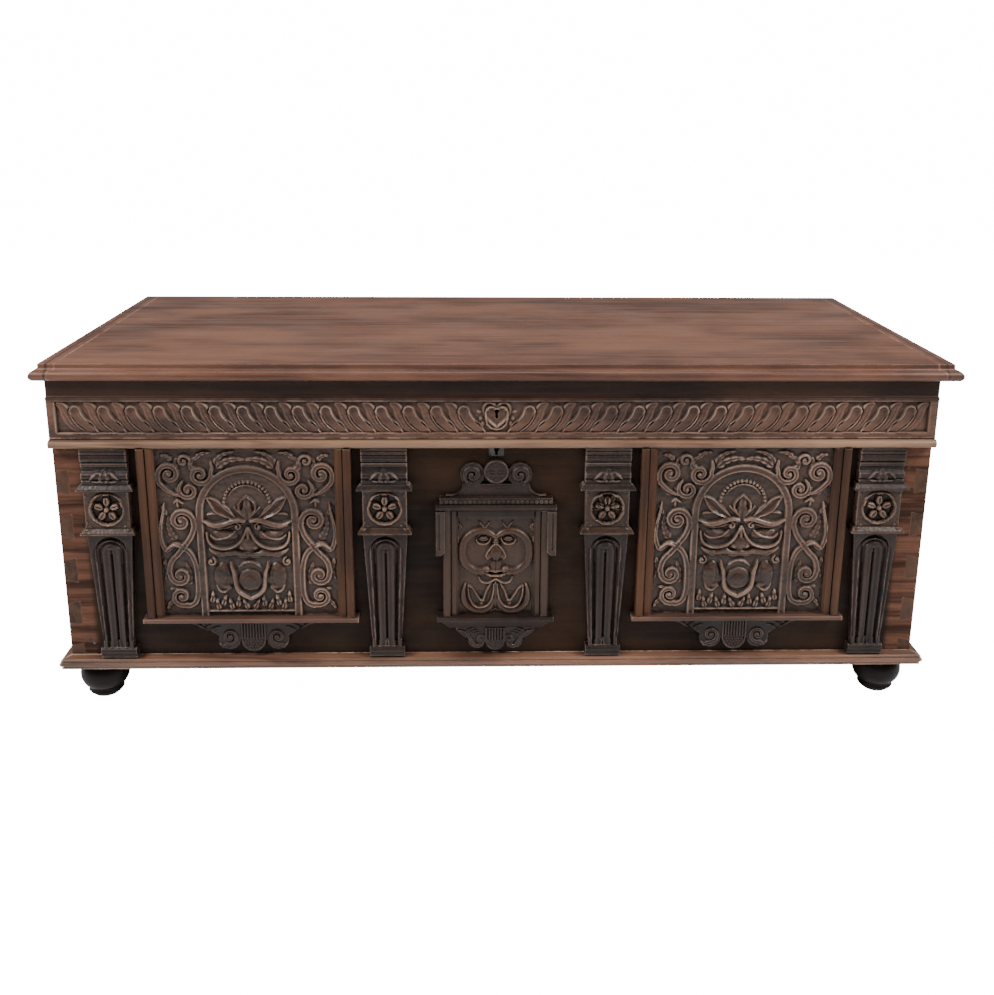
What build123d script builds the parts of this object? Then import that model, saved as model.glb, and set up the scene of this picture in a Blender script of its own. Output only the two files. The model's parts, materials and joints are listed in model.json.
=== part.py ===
from build123d import *
from math import atan2, cos, degrees, hypot, radians, sin
import os

# A carved walnut chest: dovetailed boards, ornament applied to the front, a hinged lid and an iron lock.
# Millimetres. X is the length, -Y the front, Z up from the floor. The origin is under the lid's centre.

# ---- lid ----
lid_length = 1900.0
lid_depth = 800.0
lid_thickness = 35.0
lid_front_overhang = 32.0
lid_rear_overhang = 14.0
lid_seat_gap = 0.3              # the closed lid's underside stands this far over the boards' edges
lid_front_board_share = 0.52    # the two lid boards aren't the same width
nose_radius = 11.0              # half-round nose, the lowest member of the lid's edge
nose_turn = 65.0                # degrees that the nose's upper curve turns before its fillet
nose_fillet = 2.0
cove_radius = 7.0               # hollow over the nose
arris_radius = 1.6
cleat_width = 49.0              # end cleat, from the lid's end to its joint with the boards
cleat_mitre = 16.66             # depth over which its joint is mitred through the front moulding

# ---- carcass ----
lid_end_overhang = 31.0
carcass_width = lid_length - 2 * lid_end_overhang
carcass_shift = -8.0            # the carcass stands this much left of the lid's middle
carcass_height = 645.0
board_thickness = 28.0
bottom_thickness = 22.0
bottom_front_board_share = 0.55
dovetail_count = 6
dovetail_end_distance = 75.0    # centre of the first and last tail from the board's edge
tail_root_width = 42.0
tail_flare = 6.0                # how much a tail widens on each side towards its end

# ---- feet ----
foot_height = 88.0
foot_setback = 49.0             # foot's centre behind the front board's face
foot_inset = 51.0               # foot's centre inside the carcass's end
foot_collar_radius = 42.0
foot_collar_height = 10.0
foot_bulge_radius = 52.0
foot_bulge_level = 45.0
foot_neck_radius = 36.0
foot_neck_level = 18.0
foot_ball_radius = 38.0
foot_ball_level = 10.0
foot_sole_radius = 28.0
foot_sides = 32
bulge_steps = 5
foot_tenon_radius = 11.5
foot_tenon_length = 18.0
tenon_clearance = 0.3

# ---- plinth ----
plinth_height = 27.0
plinth_projection = 22.0
plinth_recess = 4.0             # undercut below the nose
plinth_nose_low = 6.0
plinth_nose_high = 16.5
plinth_quirk = 1.5
plinth_edge_level = 23.0        # where the rounded edge meets the sloped top

# ---- frieze ----
rail_height = 43.0
rail_projection = 8.0
rail_fillet_height = 5.0
rail_fillet_projection = 14.0
frieze_height = 80.0
frieze_projection = 12.0
frieze_field_depth = 6.0
frieze_top_border = 3.0
frieze_bottom_border = 11.0
frieze_end_border = 18.0
bead_height = 21.0
bead_projection = 25.0
bead_fillet_height = 3.5
bead_fillet_projection = 14.0
gadroons_each_side = 15
gadroon_first = 68.0            # centre of the first lobe's head from the middle
gadroon_last_inset = 57.2       # centre of the last lobe's head from the carcass's end
gadroon_width = 27.0
gadroon_lean = 36.0             # how far a lobe's foot runs in towards the middle
gadroon_bow = 5.0               # how far its sides bow out from a straight line
gadroon_rise = 5.0
gadroon_slope = 2.0             # a lobe's crest is this much inside its foot all round
gadroon_head_drop = 8.0         # head's crown below the field's upper edge
cartouche_half_width = 24.0
cartouche_drop = 4.0            # cartouche's foot above the field's lower edge
cartouche_height = 52.0
cartouche_rise = 6.0
cartouche_rim = 4.0

# ---- pilasters ----
outer_pilaster_inset = 108.0    # its middle from the carcass's end
inner_pilaster_x = 234.0
capital_members = (0, 7, 10, 25, 39, 45, 49, 62, 65, 70, 73, 78)   # levels of its mouldings above its ledge
capital_height = capital_members[-1]
capital_width = 95.0
capital_projection = 21.0
capital_hollow = 7.0            # depth of its cove and its deep quirk
capital_step = 2.5              # its fillets stand this far before the members between them
capital_swell = 2.0             # and its cushion this far before the fillets
ledge_height = 12.0
ledge_width = 116.0
block_ledge_width = 113.0
ledge_projection = 30.0
ledge_slope = 6.5               # its upper edge stands back by this much, front and ends
ledge_edge = 3.5
block_height = 85.0
block_width = 92.0
block_projection = 20.0
rosette_radius = 36.0
rosette_ring = 4.0
rosette_ring_rise = 1.5
rosette_sides = 20
rosette_depth = 6.0
petal_count = 5
petal_reach = 17.0
petal_length = 12.0
petal_half_width = 8.0
boss_radius = 6.0
shaft_top_width = 94.0
shaft_bottom_width = 62.0
shaft_projection = 17.0
shaft_border = 8.0
shaft_sunk_depth = 4.0
shaft_band = 7.0                # from the sunk field's edge to the raised tongue
tongue_rise = 3.0
tongue_groove = 3.0
base_height = 24.0
base_width = 76.0
base_projection = 22.0
base_torus = 17.0
base_recess = 5.0

# ---- arch panels ----
panel_side_gap = 68.5           # from a stile's outer edge to the middle of the pilaster beside it
stile_width = 35.0
stile_projection = 26.0
stile_bead = 16.0               # width of the outer, raised half
stile_quirk = 5.0
stile_bevel = 2.5
sill_level = 96.0               # top of the sills above the plinth
sill_thickness = 11.0
sill_projection = 31.0
sill_round = 2.5                # depth of its rounded edge
sill_fall = 1.0                 # how far its top slopes down to the edge
sill_overlap = 9.0              # sill past the stiles at each end
panel_thickness = 9.0
arch_outer_radius = 108.0
arch_band_width = 17.0
arch_crown_drop = 38.0          # crown below the panel's upper edge
arch_rise = 7.0
relief_rise = 7.0
scroll_tube = 6.0
eye_share = 0.36                # a volute's eye, as a share of its radius
dome_top_share = 0.72           # an oval boss's flat top, as a share of its foot
arc_steps = 4                   # straight cuts in a small round stretch
arch_steps = 12                 # and in an arch's head
leaf_steps = 3
oval_sides = 12
small_oval_sides = 8
spandrel_volutes = (            # in from the stile, drop below the panel's upper edge, radius
    (27.0, 62.0, 22.0),
    (57.0, 33.0, 13.0),
    (85.0, 64.0, 18.0),
    (63.0, 97.0, 14.0),
)
loop_half_width = 20.0          # side borders: two tall loops, one over the other
loop_height = 105.0
border_volute_levels = (38.0, 64.0, 166.0)      # above the sill
border_volute_radius = 9.0
pearl_count = 9
pearl_radius = 4.5
pearl_ring_radius = 50.0
pearl_ring_drop = 122.0         # their ring's centre below the panel's upper edge
pearl_ring_turn = 200.0         # degrees from the first pearl to the last
brow_drop = 170.0               # mask's brow below the panel's upper edge
brow_root = 5.0
brow_length = 84.0
brow_width = 24.0
brow_turn = 8.0
side_leaf_turn = 38.0
crown_leaf_gap = 14.0
crown_leaf_length = 54.0
crown_leaf_width = 32.0
eye_drop = 24.0
eye_spacing = 47.0
eye_half_width = 33.0
eye_half_height = 15.0
eyeball_half_width = 22.0
eyeball_half_height = 9.0
nose_length = 60.0
nose_half_width = 21.0
moustache_drop = 50.0
moustache_root = 8.0
moustache_half_width = 80.0
moustache_width = 26.0
moustache_turn = 12.0
shield_drop = 8.0
shield_half_width = 35.0
shield_height = 78.0
shield_fullness = 0.85          # half width at mid height, as a share of its upper half width
shield_boss_half_width = 24.0
shield_boss_half_height = 19.0
cheek_x = 57.0
cheek_drop = 40.0
cheek_half_width = 15.0
cheek_half_height = 30.0
crinkle_xs = (18.0, 46.0, 74.0)         # the crinkled leaf's folds along the sill
crinkle_level = 16.0
crinkle_half_width = 13.0
crinkle_half_height = 9.0
apron_half_width = 144.0
apron_foot_gap = 11.0           # apron's tongue above the plinth
apron_thickness = 14.0
apron_relief = 4.0              # its volutes and tongue stand this far off its tails
apron_tail_height = 6.0
apron_tail_hollow = 12.0
apron_scroll_lift = 0.6         # its volutes' centres over the tongue's, as a share of their radius
flute_depth = 2.0
apron_tongue_half_width = 26.0
apron_scroll_x = 52.0
apron_scroll_radius = 24.0

# ---- centre aedicule ----
aedicule_half_width = 127.0     # over the ears
aedicule_stile_outer = 112.0
aedicule_stile_inner = 80.0
aedicule_stile_projection = 24.0
ear_height = 99.0
ear_projection = 28.0
ear_return = 4.0                # half the height of the slant at its foot
ear_strip_share = 0.3           # its sunk strip's width, as a share of its own
ear_strip_depth = 2.0
aedicule_crown_height = 153.0   # from the top of its panel to the frieze's bead, for the head and the pediment
aedicule_head_height = 16.0
cornice_height = 13.0
cornice_projection = 31.0
cornice_bevel = 6.0             # its lower slope's depth
cornice_edge_low = 5.0          # its upright edge, above the head
cornice_edge_high = 9.0
bead_strip_height = 14.0
bead_strip_half_width = 119.0
bead_strip_projection = 24.0
strip_bead_count = 24
strip_bead_radius = 4.0
strip_bead_rise = 2.8
strip_bead_sides = 6
aedicule_panel_thickness = 9.0
ring_outer_radius = 40.0        # the grotesque's two ring-shaped bands
ring_tube = 13.0
ring_spread = 39.0
ring_drop = 80.0                # their centres below the panel's upper edge
ring_rise = 10.0
grotesque_domes = (             # X, height over the rings' centres, half width, half height, rise
    (0.0, -6.0, 17.0, 17.0, 13.0),
    (0.0, -44.0, 17.0, 8.0, 8.0),
    (27.0, 14.0, 13.0, 8.0, 8.0),
    (20.0, -64.0, 18.0, 8.0, 7.0),
)
lobe_level = 48.0               # two U-shaped leaves below it: centres above the sill
lobe_x = 36.0
lobe_radius = 33.0
lobe_tube = 10.0
lobe_rise = 7.0
lobe_leaves = (                 # X of the root, length, turn
    (22.0, 52.0, 78.0),
    (58.0, 42.0, 60.0),
)
lobe_leaf_width = 16.0
corner_volute_x = 62.0
corner_volute_drop = 20.0
corner_volute_radius = 12.0
pediment_height = 56.0          # medallion's centre above the bead strip
pediment_thickness = 12.0
pediment_half_width = 106.0
pediment_neck = 70.0
pediment_scroll_x = 50.0
pediment_scroll_height = 49.0   # centre above the bead strip
pediment_scroll_radius = 26.0
pediment_shoulder = 0.5         # its straight upper edge, as a share of the medallion's height
pediment_lip = 4.0              # height of its tails' ends
pediment_tail_bow = 9.0         # deepest spot of the tails' hollow edge, outside the neck and over the strip
medallion_radius = 26.0
medallion_boss_radius = 13.0
medallion_rise = 5.0
aedicule_sill_half_width = 125.0
aedicule_corbel_height = 22.0
corbel_high_half_width = 119.0
corbel_low_half_width = 100.0
corbel_high_projection = 24.0
corbel_low_projection = 10.0
aedicule_apron_half_width = 85.0
aedicule_tongue_half_width = 21.0
aedicule_apron_scroll_x = 41.0
aedicule_apron_scroll_radius = 18.0

# ---- iron hinges ----
hinge_spacing = 552.0
hinge_width = 34.0
hinge_iron = 3.0
hinge_barrel_radius = 5.5
hinge_pin_radius = 2.6
pin_clearance = 0.05
knuckle_gap = 0.3
strap_eye_width = 12.0
strap_length = 250.0
strap_tip_width = 20.0
leaf_height = 80.0
notch_clearance = 0.5
barrel_lid_gap = 0.3

# ---- lock ----
keyhole_drop = 67.0             # key's centre below the carcass's rim
key_round_radius = 5.0
key_slot_width = 5.4
key_slot_length = 16.0
lower_keyhole_drop = 153.0
lower_slot_length = 11.0
lower_plate_width = 32.0
lower_plate_height = 22.0
lower_plate_drop = 2.5          # plate's centre below the lower key's centre
lower_plate_corner = 4.0
lower_plate_thickness = 1.5
lock_case_width = 150.0
lock_case_height = 95.0
lock_case_depth = 30.0
lock_iron = 3.0
lock_top_drop = 9.0             # case's top below the carcass's rim
bolt_height = 10.0
bolt_thickness = 6.0
bolt_length = 62.0
bolt_throw = 16.0               # from clear of the staple to right through it
bolt_drop = 40.0                # bolt's centre below the carcass's rim
bolt_clearance = 0.3
bolt_guide_width = 5.0
talon_length = 10.0
talon_width = 6.0
staple_iron = 3.0
staple_width = 10.0
staple_bolt_gap = 2.0
staple_swing_gap = 2.5
hasp_width = 30.0
hasp_length = 80.0
hasp_iron = 3.0
hasp_setback = 2.0              # its front edge behind the front board

# ---- levels and places worked out from the sizes above ----
front = -lid_depth / 2 + lid_front_overhang
rear = lid_depth / 2 - lid_rear_overhang
half_width = carcass_width / 2
inner_half_width = half_width - board_thickness
inner_front = front + board_thickness
inner_rear = rear - board_thickness
rim = foot_height + carcass_height
lid_underside = rim + lid_seat_gap
lid_top = lid_underside + lid_thickness
plinth_top = foot_height + plinth_height
rail_level = rim - rail_height
frieze_level = rail_level - frieze_height
bead_level = frieze_level - bead_height
capital_level = bead_level - capital_height
block_level = capital_level - ledge_height - block_height
shaft_top = block_level - ledge_height
base_top = plinth_top + base_height
sill_top = plinth_top + sill_level
key_z = rim - keyhole_drop
lower_key_z = rim - lower_keyhole_drop
outer_pilaster_x = half_width - outer_pilaster_inset
panel_x = (outer_pilaster_x + inner_pilaster_x) / 2
panel_half_width = (outer_pilaster_x - inner_pilaster_x) / 2 - panel_side_gap
gadroon_pitch = (half_width - gadroon_last_inset - gadroon_first) / (gadroons_each_side - 1)

nodes = {}


# ---- helpers ----
def keep(name, shape):
    """Store a node that is one solid."""
    solids = shape.solids()
    if len(solids) != 1:
        raise ValueError(f"{name} has {len(solids)} solids")
    nodes[name] = solids[0]


def keep_group(name, shapes):
    """Store a node that holds several equal solids."""
    nodes[name] = Compound(children=[solid for shape in shapes for solid in shape.solids()])


def board(x0, x1, y0, y1, z0, z1):
    """A square-edged piece between two corners."""
    middle = Pos((x0 + x1) / 2, (y0 + y1) / 2, (z0 + z1) / 2)
    return middle * Box(x1 - x0, y1 - y0, z1 - z0)


def prism(points, z0, z1):
    """An upright piece over an outline in plan."""
    return extrude(Pos(0, 0, z0) * make_face(Polyline(*points, close=True)), amount=z1 - z0)


def closed_face(*curves):
    """A face from curves that follow each other round."""
    return make_face(Curve() + list(curves))


def wall_plane(y):
    """An upright plane at y that faces forward; its sketches are in X and Z."""
    return Plane(origin=(0, y, 0), x_dir=(1, 0, 0), z_dir=(0, -1, 0))


def raised(sketch, out, rise):
    """A sketch in X and Z standing 'rise' off a face that is 'out' before the front board."""
    return extrude(wall_plane(front - out) * sketch, amount=rise)


def run(section, x0, x1):
    """A moulding along X from a section in (distance before the front board, Z)."""
    plane = Plane(origin=(x1, front, 0), x_dir=(0, -1, 0), z_dir=(-1, 0, 0))
    return extrude(plane * section, amount=x1 - x0)


def upright(section, z0, z1):
    """A moulding along Z from a section in (X, distance before the front board)."""
    plane = Plane(origin=(0, front, z1), x_dir=(1, 0, 0), z_dir=(0, 0, -1))
    return extrude(plane * section, amount=z1 - z0)


def both_sides(shape):
    """A shape and its mirror image across the plane X = 0."""
    return [shape, mirror(shape, Plane.YZ)]


def arc(start, middle, end, steps=arc_steps):
    """A round stretch of a small outline, in straight cuts as a chisel leaves it."""
    whole = ThreePointArc(start, middle, end)
    return Polyline(*[whole @ (i / steps) for i in range(steps + 1)])


def oval(half_x, half_z, sides=oval_sides):
    """A flat oval with straight cuts round its edge."""
    turns = [radians(360 * i / sides) for i in range(sides)]
    return make_face(Polyline(*[(half_x * cos(turn), half_z * sin(turn)) for turn in turns], close=True))


def ring(half_x, half_z, width, sides=oval_sides):
    """A flat oval band."""
    return oval(half_x, half_z, sides) - oval(half_x - width, half_z - width, sides)


def scroll(x, z, radius, out, rise):
    """A carved volute: a rolled rim round an eye."""
    rim_ring = Pos(x, z) * ring(radius, radius, scroll_tube)
    eye = Pos(x, z) * oval(radius * eye_share, radius * eye_share, small_oval_sides)
    return [raised(rim_ring, out, rise), raised(eye, out, rise)]


def flat_face(corners):
    """A flat face between corners given in space."""
    return Face(Wire.make_polygon(corners, close=True))


def stacked(outlines):
    """A solid in flat facets through outlines that lie over each other, all scaled copies of one shape."""
    faces = [flat_face(outlines[0]), flat_face(outlines[-1])]
    for low, high in zip(outlines, outlines[1:]):
        for i in range(len(low)):
            j = (i + 1) % len(low)
            faces.append(flat_face([low[i], low[j], high[j], high[i]]))
    return Solid(Shell(faces))


def dome(x, z, half_x, half_z, out, rise):
    """An oval boss with sloped sides, standing on a face."""
    turns = [radians(360 * i / small_oval_sides) for i in range(small_oval_sides)]
    corners = [(half_x * cos(turn), half_z * sin(turn)) for turn in turns]
    outlines = []
    for share, y in ((1, front - out), (dome_top_share, front - out - rise)):
        outlines.append([(x + share * dx, y, z + share * dz) for dx, dz in corners])
    return stacked(outlines)


def leaf(x, z, length, width, angle, out, rise):
    """A pointed leaf from its root at (x, z)."""
    blade = closed_face(
        arc((0, 0), (length / 2, width / 2), (length, 0), leaf_steps),
        arc((length, 0), (length / 2, -width / 2), (0, 0), leaf_steps),
    )
    return raised(Pos(x, z) * Rot(0, 0, angle) * blade, out, rise)


def keyhole(z, slot_length, y0, y1):
    """A round hole over a slot, cut along Y in the middle of the chest."""
    hole = Pos(0, z) * oval(key_round_radius, key_round_radius, rosette_sides)
    slot = Pos(0, z - slot_length / 2) * Rectangle(key_slot_width, slot_length)
    return extrude(wall_plane(y1) * (hole + slot), amount=y1 - y0)


# ---- carcass: four boards dovetailed at the corners, two bottom boards between them ----
def dovetail_tails(y0):
    """The tails at both ends of a long board whose face is at y0."""
    pitch = (carcass_height - 2 * dovetail_end_distance) / (dovetail_count - 1)
    root = tail_root_width / 2
    end = root + tail_flare
    tails = []
    for i in range(dovetail_count):
        z = foot_height + dovetail_end_distance + i * pitch
        tail = Polyline(
            (inner_half_width, z - root),
            (half_width, z - end),
            (half_width, z + end),
            (inner_half_width, z + root),
            close=True,
        )
        face = wall_plane(y0 + board_thickness) * make_face(tail)
        tails += both_sides(extrude(face, amount=board_thickness))
    return tails


front_board = board(-inner_half_width, inner_half_width, front, inner_front, foot_height, rim)
front_board += dovetail_tails(front)
front_board -= keyhole(key_z, key_slot_length, front, inner_front)
front_board -= keyhole(lower_key_z, lower_slot_length, front, inner_front)
keep("front_board", front_board)

hinge_xs = (-hinge_spacing, 0.0, hinge_spacing)
notch_half_width = hinge_width / 2 + notch_clearance
notch_floor = lid_underside - hinge_iron - notch_clearance
back_board = board(-inner_half_width, inner_half_width, inner_rear, rear, foot_height, rim)
back_board += dovetail_tails(inner_rear)
for x in hinge_xs:
    back_board -= board(x - notch_half_width, x + notch_half_width, inner_rear, rear, notch_floor, rim)
keep("back_board", back_board)

side_board = board(inner_half_width, half_width, front, rear, foot_height, rim)
side_board -= dovetail_tails(front)
side_board -= dovetail_tails(inner_rear)
keep("side_board_right", side_board)
keep("side_board_left", mirror(side_board, Plane.YZ))

foot_xs = {"left": -(half_width - foot_inset), "right": half_width - foot_inset}
foot_ys = {"front": front + foot_setback, "rear": rear - foot_setback}
bottom_joint = inner_front + (inner_rear - inner_front) * bottom_front_board_share
bottom_spans = {"front": (inner_front, bottom_joint), "rear": (bottom_joint, inner_rear)}
for place, (y0, y1) in bottom_spans.items():
    bottom = board(-inner_half_width, inner_half_width, y0, y1, foot_height, foot_height + bottom_thickness)
    for x in foot_xs.values():
        hole = Cylinder(foot_tenon_radius + tenon_clearance, 2 * bottom_thickness)
        bottom -= Pos(x, foot_ys[place], foot_height + bottom_thickness / 2) * hole
    keep(f"bottom_board_{place}", bottom)


# ---- turned feet ----
def foot_stations():
    """(Radius, Z) up the foot: sole, small ball, neck, large bulge and collar."""
    neck = (foot_neck_radius, foot_neck_level)
    bulge = (foot_bulge_radius, foot_bulge_level)
    collar = (foot_collar_radius, foot_height - foot_collar_height)
    swell = ThreePointArc(neck, bulge, collar)
    stations = [(foot_sole_radius, 0), (foot_ball_radius, foot_ball_level)]
    for i in range(bulge_steps + 1):
        spot = swell @ (i / bulge_steps)
        stations.append((spot.X, spot.Y))
    return stations + [(foot_collar_radius, foot_height)]


def turned(stations, sides):
    """A turned piece in narrow flats, widening or narrowing from each station to the next."""
    corners = [(cos(radians(360 * i / sides)), sin(radians(360 * i / sides))) for i in range(sides)]
    return stacked([[(radius * dx, radius * dy, z) for dx, dy in corners] for radius, z in stations])


tenon_stations = [(foot_tenon_radius, foot_height), (foot_tenon_radius, foot_height + foot_tenon_length)]
turned_foot = turned(foot_stations(), foot_sides) + turned(tenon_stations, rosette_sides)
for y_place, y in foot_ys.items():
    for x_place, x in foot_xs.items():
        keep(f"foot_{y_place}_{x_place}", Pos(x, y, 0) * turned_foot)


# ---- plinth: one moulding, mitred round the front corners ----
def plinth_section():
    low = foot_height + plinth_nose_low
    high = foot_height + plinth_nose_high
    edge = foot_height + plinth_edge_level
    step = plinth_projection - plinth_recess
    quirk = plinth_projection - plinth_quirk
    return closed_face(
        Line((0, foot_height), (step, foot_height)),
        Line((step, foot_height), (step, low)),
        ThreePointArc((step, low), (plinth_projection, (low + high) / 2), (quirk, high)),
        Line((quirk, high), (quirk - plinth_quirk, high)),
        ThreePointArc((quirk - plinth_quirk, high), (quirk - 1, (high + edge) / 2), (step - 1, edge)),
        Line((step - 1, edge), (0, plinth_top)),
        Line((0, plinth_top), (0, foot_height)),
    )


corner_reach = 2 * plinth_projection
front_quarter = [
    (-half_width, front),
    (half_width, front),
    (half_width + corner_reach, front - corner_reach),
    (-half_width - corner_reach, front - corner_reach),
]
end_quarter = [
    (half_width, front),
    (half_width + corner_reach, front - corner_reach),
    (half_width + corner_reach, rear),
    (half_width, rear),
]
plinth_front = run(plinth_section(), -half_width - plinth_projection, half_width + plinth_projection)
keep("plinth_front", plinth_front & prism(front_quarter, 0, rim))
end_plane = Plane(origin=(half_width, rear, 0), x_dir=(1, 0, 0), z_dir=(0, -1, 0))
plinth_end = extrude(end_plane * plinth_section(), amount=rear - front + plinth_projection)
plinth_end = plinth_end & prism(end_quarter, 0, rim)
keep("plinth_right", plinth_end)
keep("plinth_left", mirror(plinth_end, Plane.YZ))


# ---- frieze: plain rail, gadrooned board and bead ----
def rail_section():
    fillet_top = rail_level + rail_fillet_height
    hollow = rail_fillet_projection - rail_projection
    return closed_face(
        Line((0, rail_level), (rail_fillet_projection, rail_level)),
        Line((rail_fillet_projection, rail_level), (rail_fillet_projection, fillet_top)),
        RadiusArc((rail_fillet_projection, fillet_top), (rail_projection, fillet_top + hollow), hollow),
        Line((rail_projection, fillet_top + hollow), (rail_projection, rim)),
        Line((rail_projection, rim), (0, rim)),
        Line((0, rim), (0, rail_level)),
    )


keep("upper_rail", run(rail_section(), -half_width, half_width))

field_low = frieze_level + frieze_bottom_border
field_high = rail_level - frieze_top_border
field_floor = frieze_projection - frieze_field_depth


def gadroon():
    """One lobe right of the middle, its head at X = 0: it runs down, then in towards the middle."""
    half = gadroon_width / 2
    shoulder = field_high - gadroon_head_drop - half
    drop = shoulder - field_low
    slant = hypot(gadroon_lean, drop)
    bow_x = gadroon_bow * drop / slant - gadroon_lean / 2
    bow_z = -gadroon_bow * gadroon_lean / slant - drop / 2
    head_right, head_left = (half, shoulder), (-half, shoulder)
    foot_right, foot_left = (half - gadroon_lean, field_low), (-half - gadroon_lean, field_low)
    lobe = closed_face(
        arc(head_left, (0, shoulder + half), head_right),
        arc(head_right, (half + bow_x, shoulder + bow_z), foot_right, 2),
        Line(foot_right, foot_left),
        arc(foot_left, (bow_x - half, shoulder + bow_z), head_left, 2),
    )
    crest = offset(lobe, amount=-gadroon_slope, kind=Kind.INTERSECTION)
    foot_plane = wall_plane(front - field_floor)
    crest_plane = wall_plane(front - field_floor - gadroon_rise)
    return loft([(foot_plane * lobe).face(), (crest_plane * crest).face()])


def cartouche(inset):
    """A round-footed shield with two round heads, drawn smaller by 'inset' all round."""
    low = field_low + cartouche_drop + inset
    half = cartouche_half_width - inset
    head_z = field_low + cartouche_drop + cartouche_height - cartouche_half_width / 2
    foot_z = low + half
    head_radius = cartouche_half_width / 2 - inset
    head = Pos(cartouche_half_width / 2, head_z) * oval(head_radius, head_radius)
    body = Pos(0, foot_z) * oval(half, half)
    body += Pos(0, (foot_z + head_z) / 2) * Rectangle(2 * half, head_z - foot_z)
    return body + head + mirror(head, Plane.YZ)


frieze = board(-half_width, half_width, front - frieze_projection, front, frieze_level, rail_level)
field_half_width = half_width - frieze_end_border
frieze -= board(-field_half_width, field_half_width, front - frieze_projection, front - field_floor,
                field_low, field_high)
lobe = gadroon()
for i in range(gadroons_each_side):
    frieze += both_sides(Pos(gadroon_first + i * gadroon_pitch, 0, 0) * lobe)
frieze += raised(cartouche(0), field_floor, cartouche_rise)
frieze -= raised(cartouche(cartouche_rim), field_floor + cartouche_rise / 2, cartouche_rise)
frieze -= keyhole(key_z, key_slot_length, front - frieze_projection, front)
keep("gadroon_frieze", frieze)


def bead_section():
    torus_top = frieze_level - bead_fillet_height
    torus_radius = (bead_height - bead_fillet_height) / 2
    torus_back = bead_projection - torus_radius
    return closed_face(
        Line((0, bead_level), (torus_back, bead_level)),
        ThreePointArc((torus_back, bead_level), (bead_projection, bead_level + torus_radius),
                      (torus_back, torus_top)),
        Line((torus_back, torus_top), (bead_fillet_projection - 2, torus_top)),
        Line((bead_fillet_projection - 2, torus_top), (bead_fillet_projection, frieze_level)),
        Line((bead_fillet_projection, frieze_level), (0, frieze_level)),
        Line((0, frieze_level), (0, bead_level)),
    )


keep("frieze_bead", run(bead_section(), -half_width, half_width))


# ---- pilasters: capital and ledge, rosette block and ledge, tapered shaft, base ----
def ledge(width, z):
    """A thin shelf with a short upright edge and a sloped top, on the wall at z."""
    front_half = board(-width / 2, width / 2, front - ledge_projection, front, z, z + ledge_height)
    slope_height = ledge_height - ledge_edge
    both_halves = Pos(0, front, z + ledge_edge) * Rectangle(width, 2 * ledge_projection)
    slope = extrude(both_halves, amount=slope_height, taper=degrees(atan2(ledge_slope, slope_height)))
    edge = board(-width / 2, width / 2, front - ledge_projection, front, z, z + ledge_edge)
    return edge + (slope & front_half)


def capital_section():
    """From the ledge up: fillet, cushion, cove, fillet, deep quirk, ovolo and two fillets."""
    face = capital_projection
    back = face - capital_step
    deep = face - capital_hollow
    z = [capital_level + level for level in capital_members]
    return closed_face(
        Line((0, z[0]), (face, z[0])),
        Line((face, z[0]), (face, z[1])),
        Line((face, z[1]), (back, z[2])),
        arc((back, z[2]), (face + capital_swell, (z[2] + z[3]) / 2), (back, z[3])),
        arc((back, z[3]), (deep, (z[3] + z[4]) / 2), (back, z[4])),
        Line((back, z[4]), (back, z[5])),
        Line((back, z[5]), (deep, z[5])),
        Line((deep, z[5]), (deep, z[6])),
        Line((deep, z[6]), (back, z[6])),
        arc((back, z[6]), (face + capital_swell / 2, (z[6] + z[7]) / 2), (face, z[7]), 2),
        Line((face, z[7]), (back, z[7])),
        Line((back, z[7]), (back, z[8])),
        Line((back, z[8]), (face, z[8])),
        Line((face, z[8]), (face, z[9])),
        Line((face, z[9]), (back, z[9])),
        Line((back, z[9]), (back, z[10])),
        Line((back, z[10]), (face, z[10])),
        Line((face, z[10]), (face, z[11])),
        Line((face, z[11]), (0, z[11])),
        Line((0, z[11]), (0, z[0])),
    )


def rosette_block():
    """A square block with a ringed, sunk flower, on its own ledge."""
    block = board(-block_width / 2, block_width / 2, front - block_projection, front,
                  block_level, block_level + block_height)
    centre_z = block_level + block_height / 2
    sunk = block_projection - rosette_depth
    hollow_radius = rosette_radius - rosette_ring
    block -= raised(Pos(0, centre_z) * oval(hollow_radius, hollow_radius, rosette_sides), sunk, rosette_depth)
    block += raised(Pos(0, centre_z) * ring(rosette_radius, rosette_radius, rosette_ring, rosette_sides),
                    block_projection, rosette_ring_rise)
    petal = dome(0, centre_z + petal_reach, petal_half_width, petal_length, sunk, rosette_depth)
    for i in range(petal_count):
        block += petal.rotate(Axis((0, 0, centre_z), (0, 1, 0)), i * 360 / petal_count)
    block += dome(0, centre_z, boss_radius, boss_radius, sunk, rosette_depth + rosette_ring_rise)
    return block + ledge(block_ledge_width, shaft_top)


def arch_headed(top_width, foot_width, z_low, z_high):
    """A tapered outline with a round head."""
    shoulder = z_high - top_width / 2
    return closed_face(
        Line((-foot_width / 2, z_low), (foot_width / 2, z_low)),
        Line((foot_width / 2, z_low), (top_width / 2, shoulder)),
        arc((top_width / 2, shoulder), (0, z_high), (-top_width / 2, shoulder), arch_steps),
        Line((-top_width / 2, shoulder), (-foot_width / 2, z_low)),
    )


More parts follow.
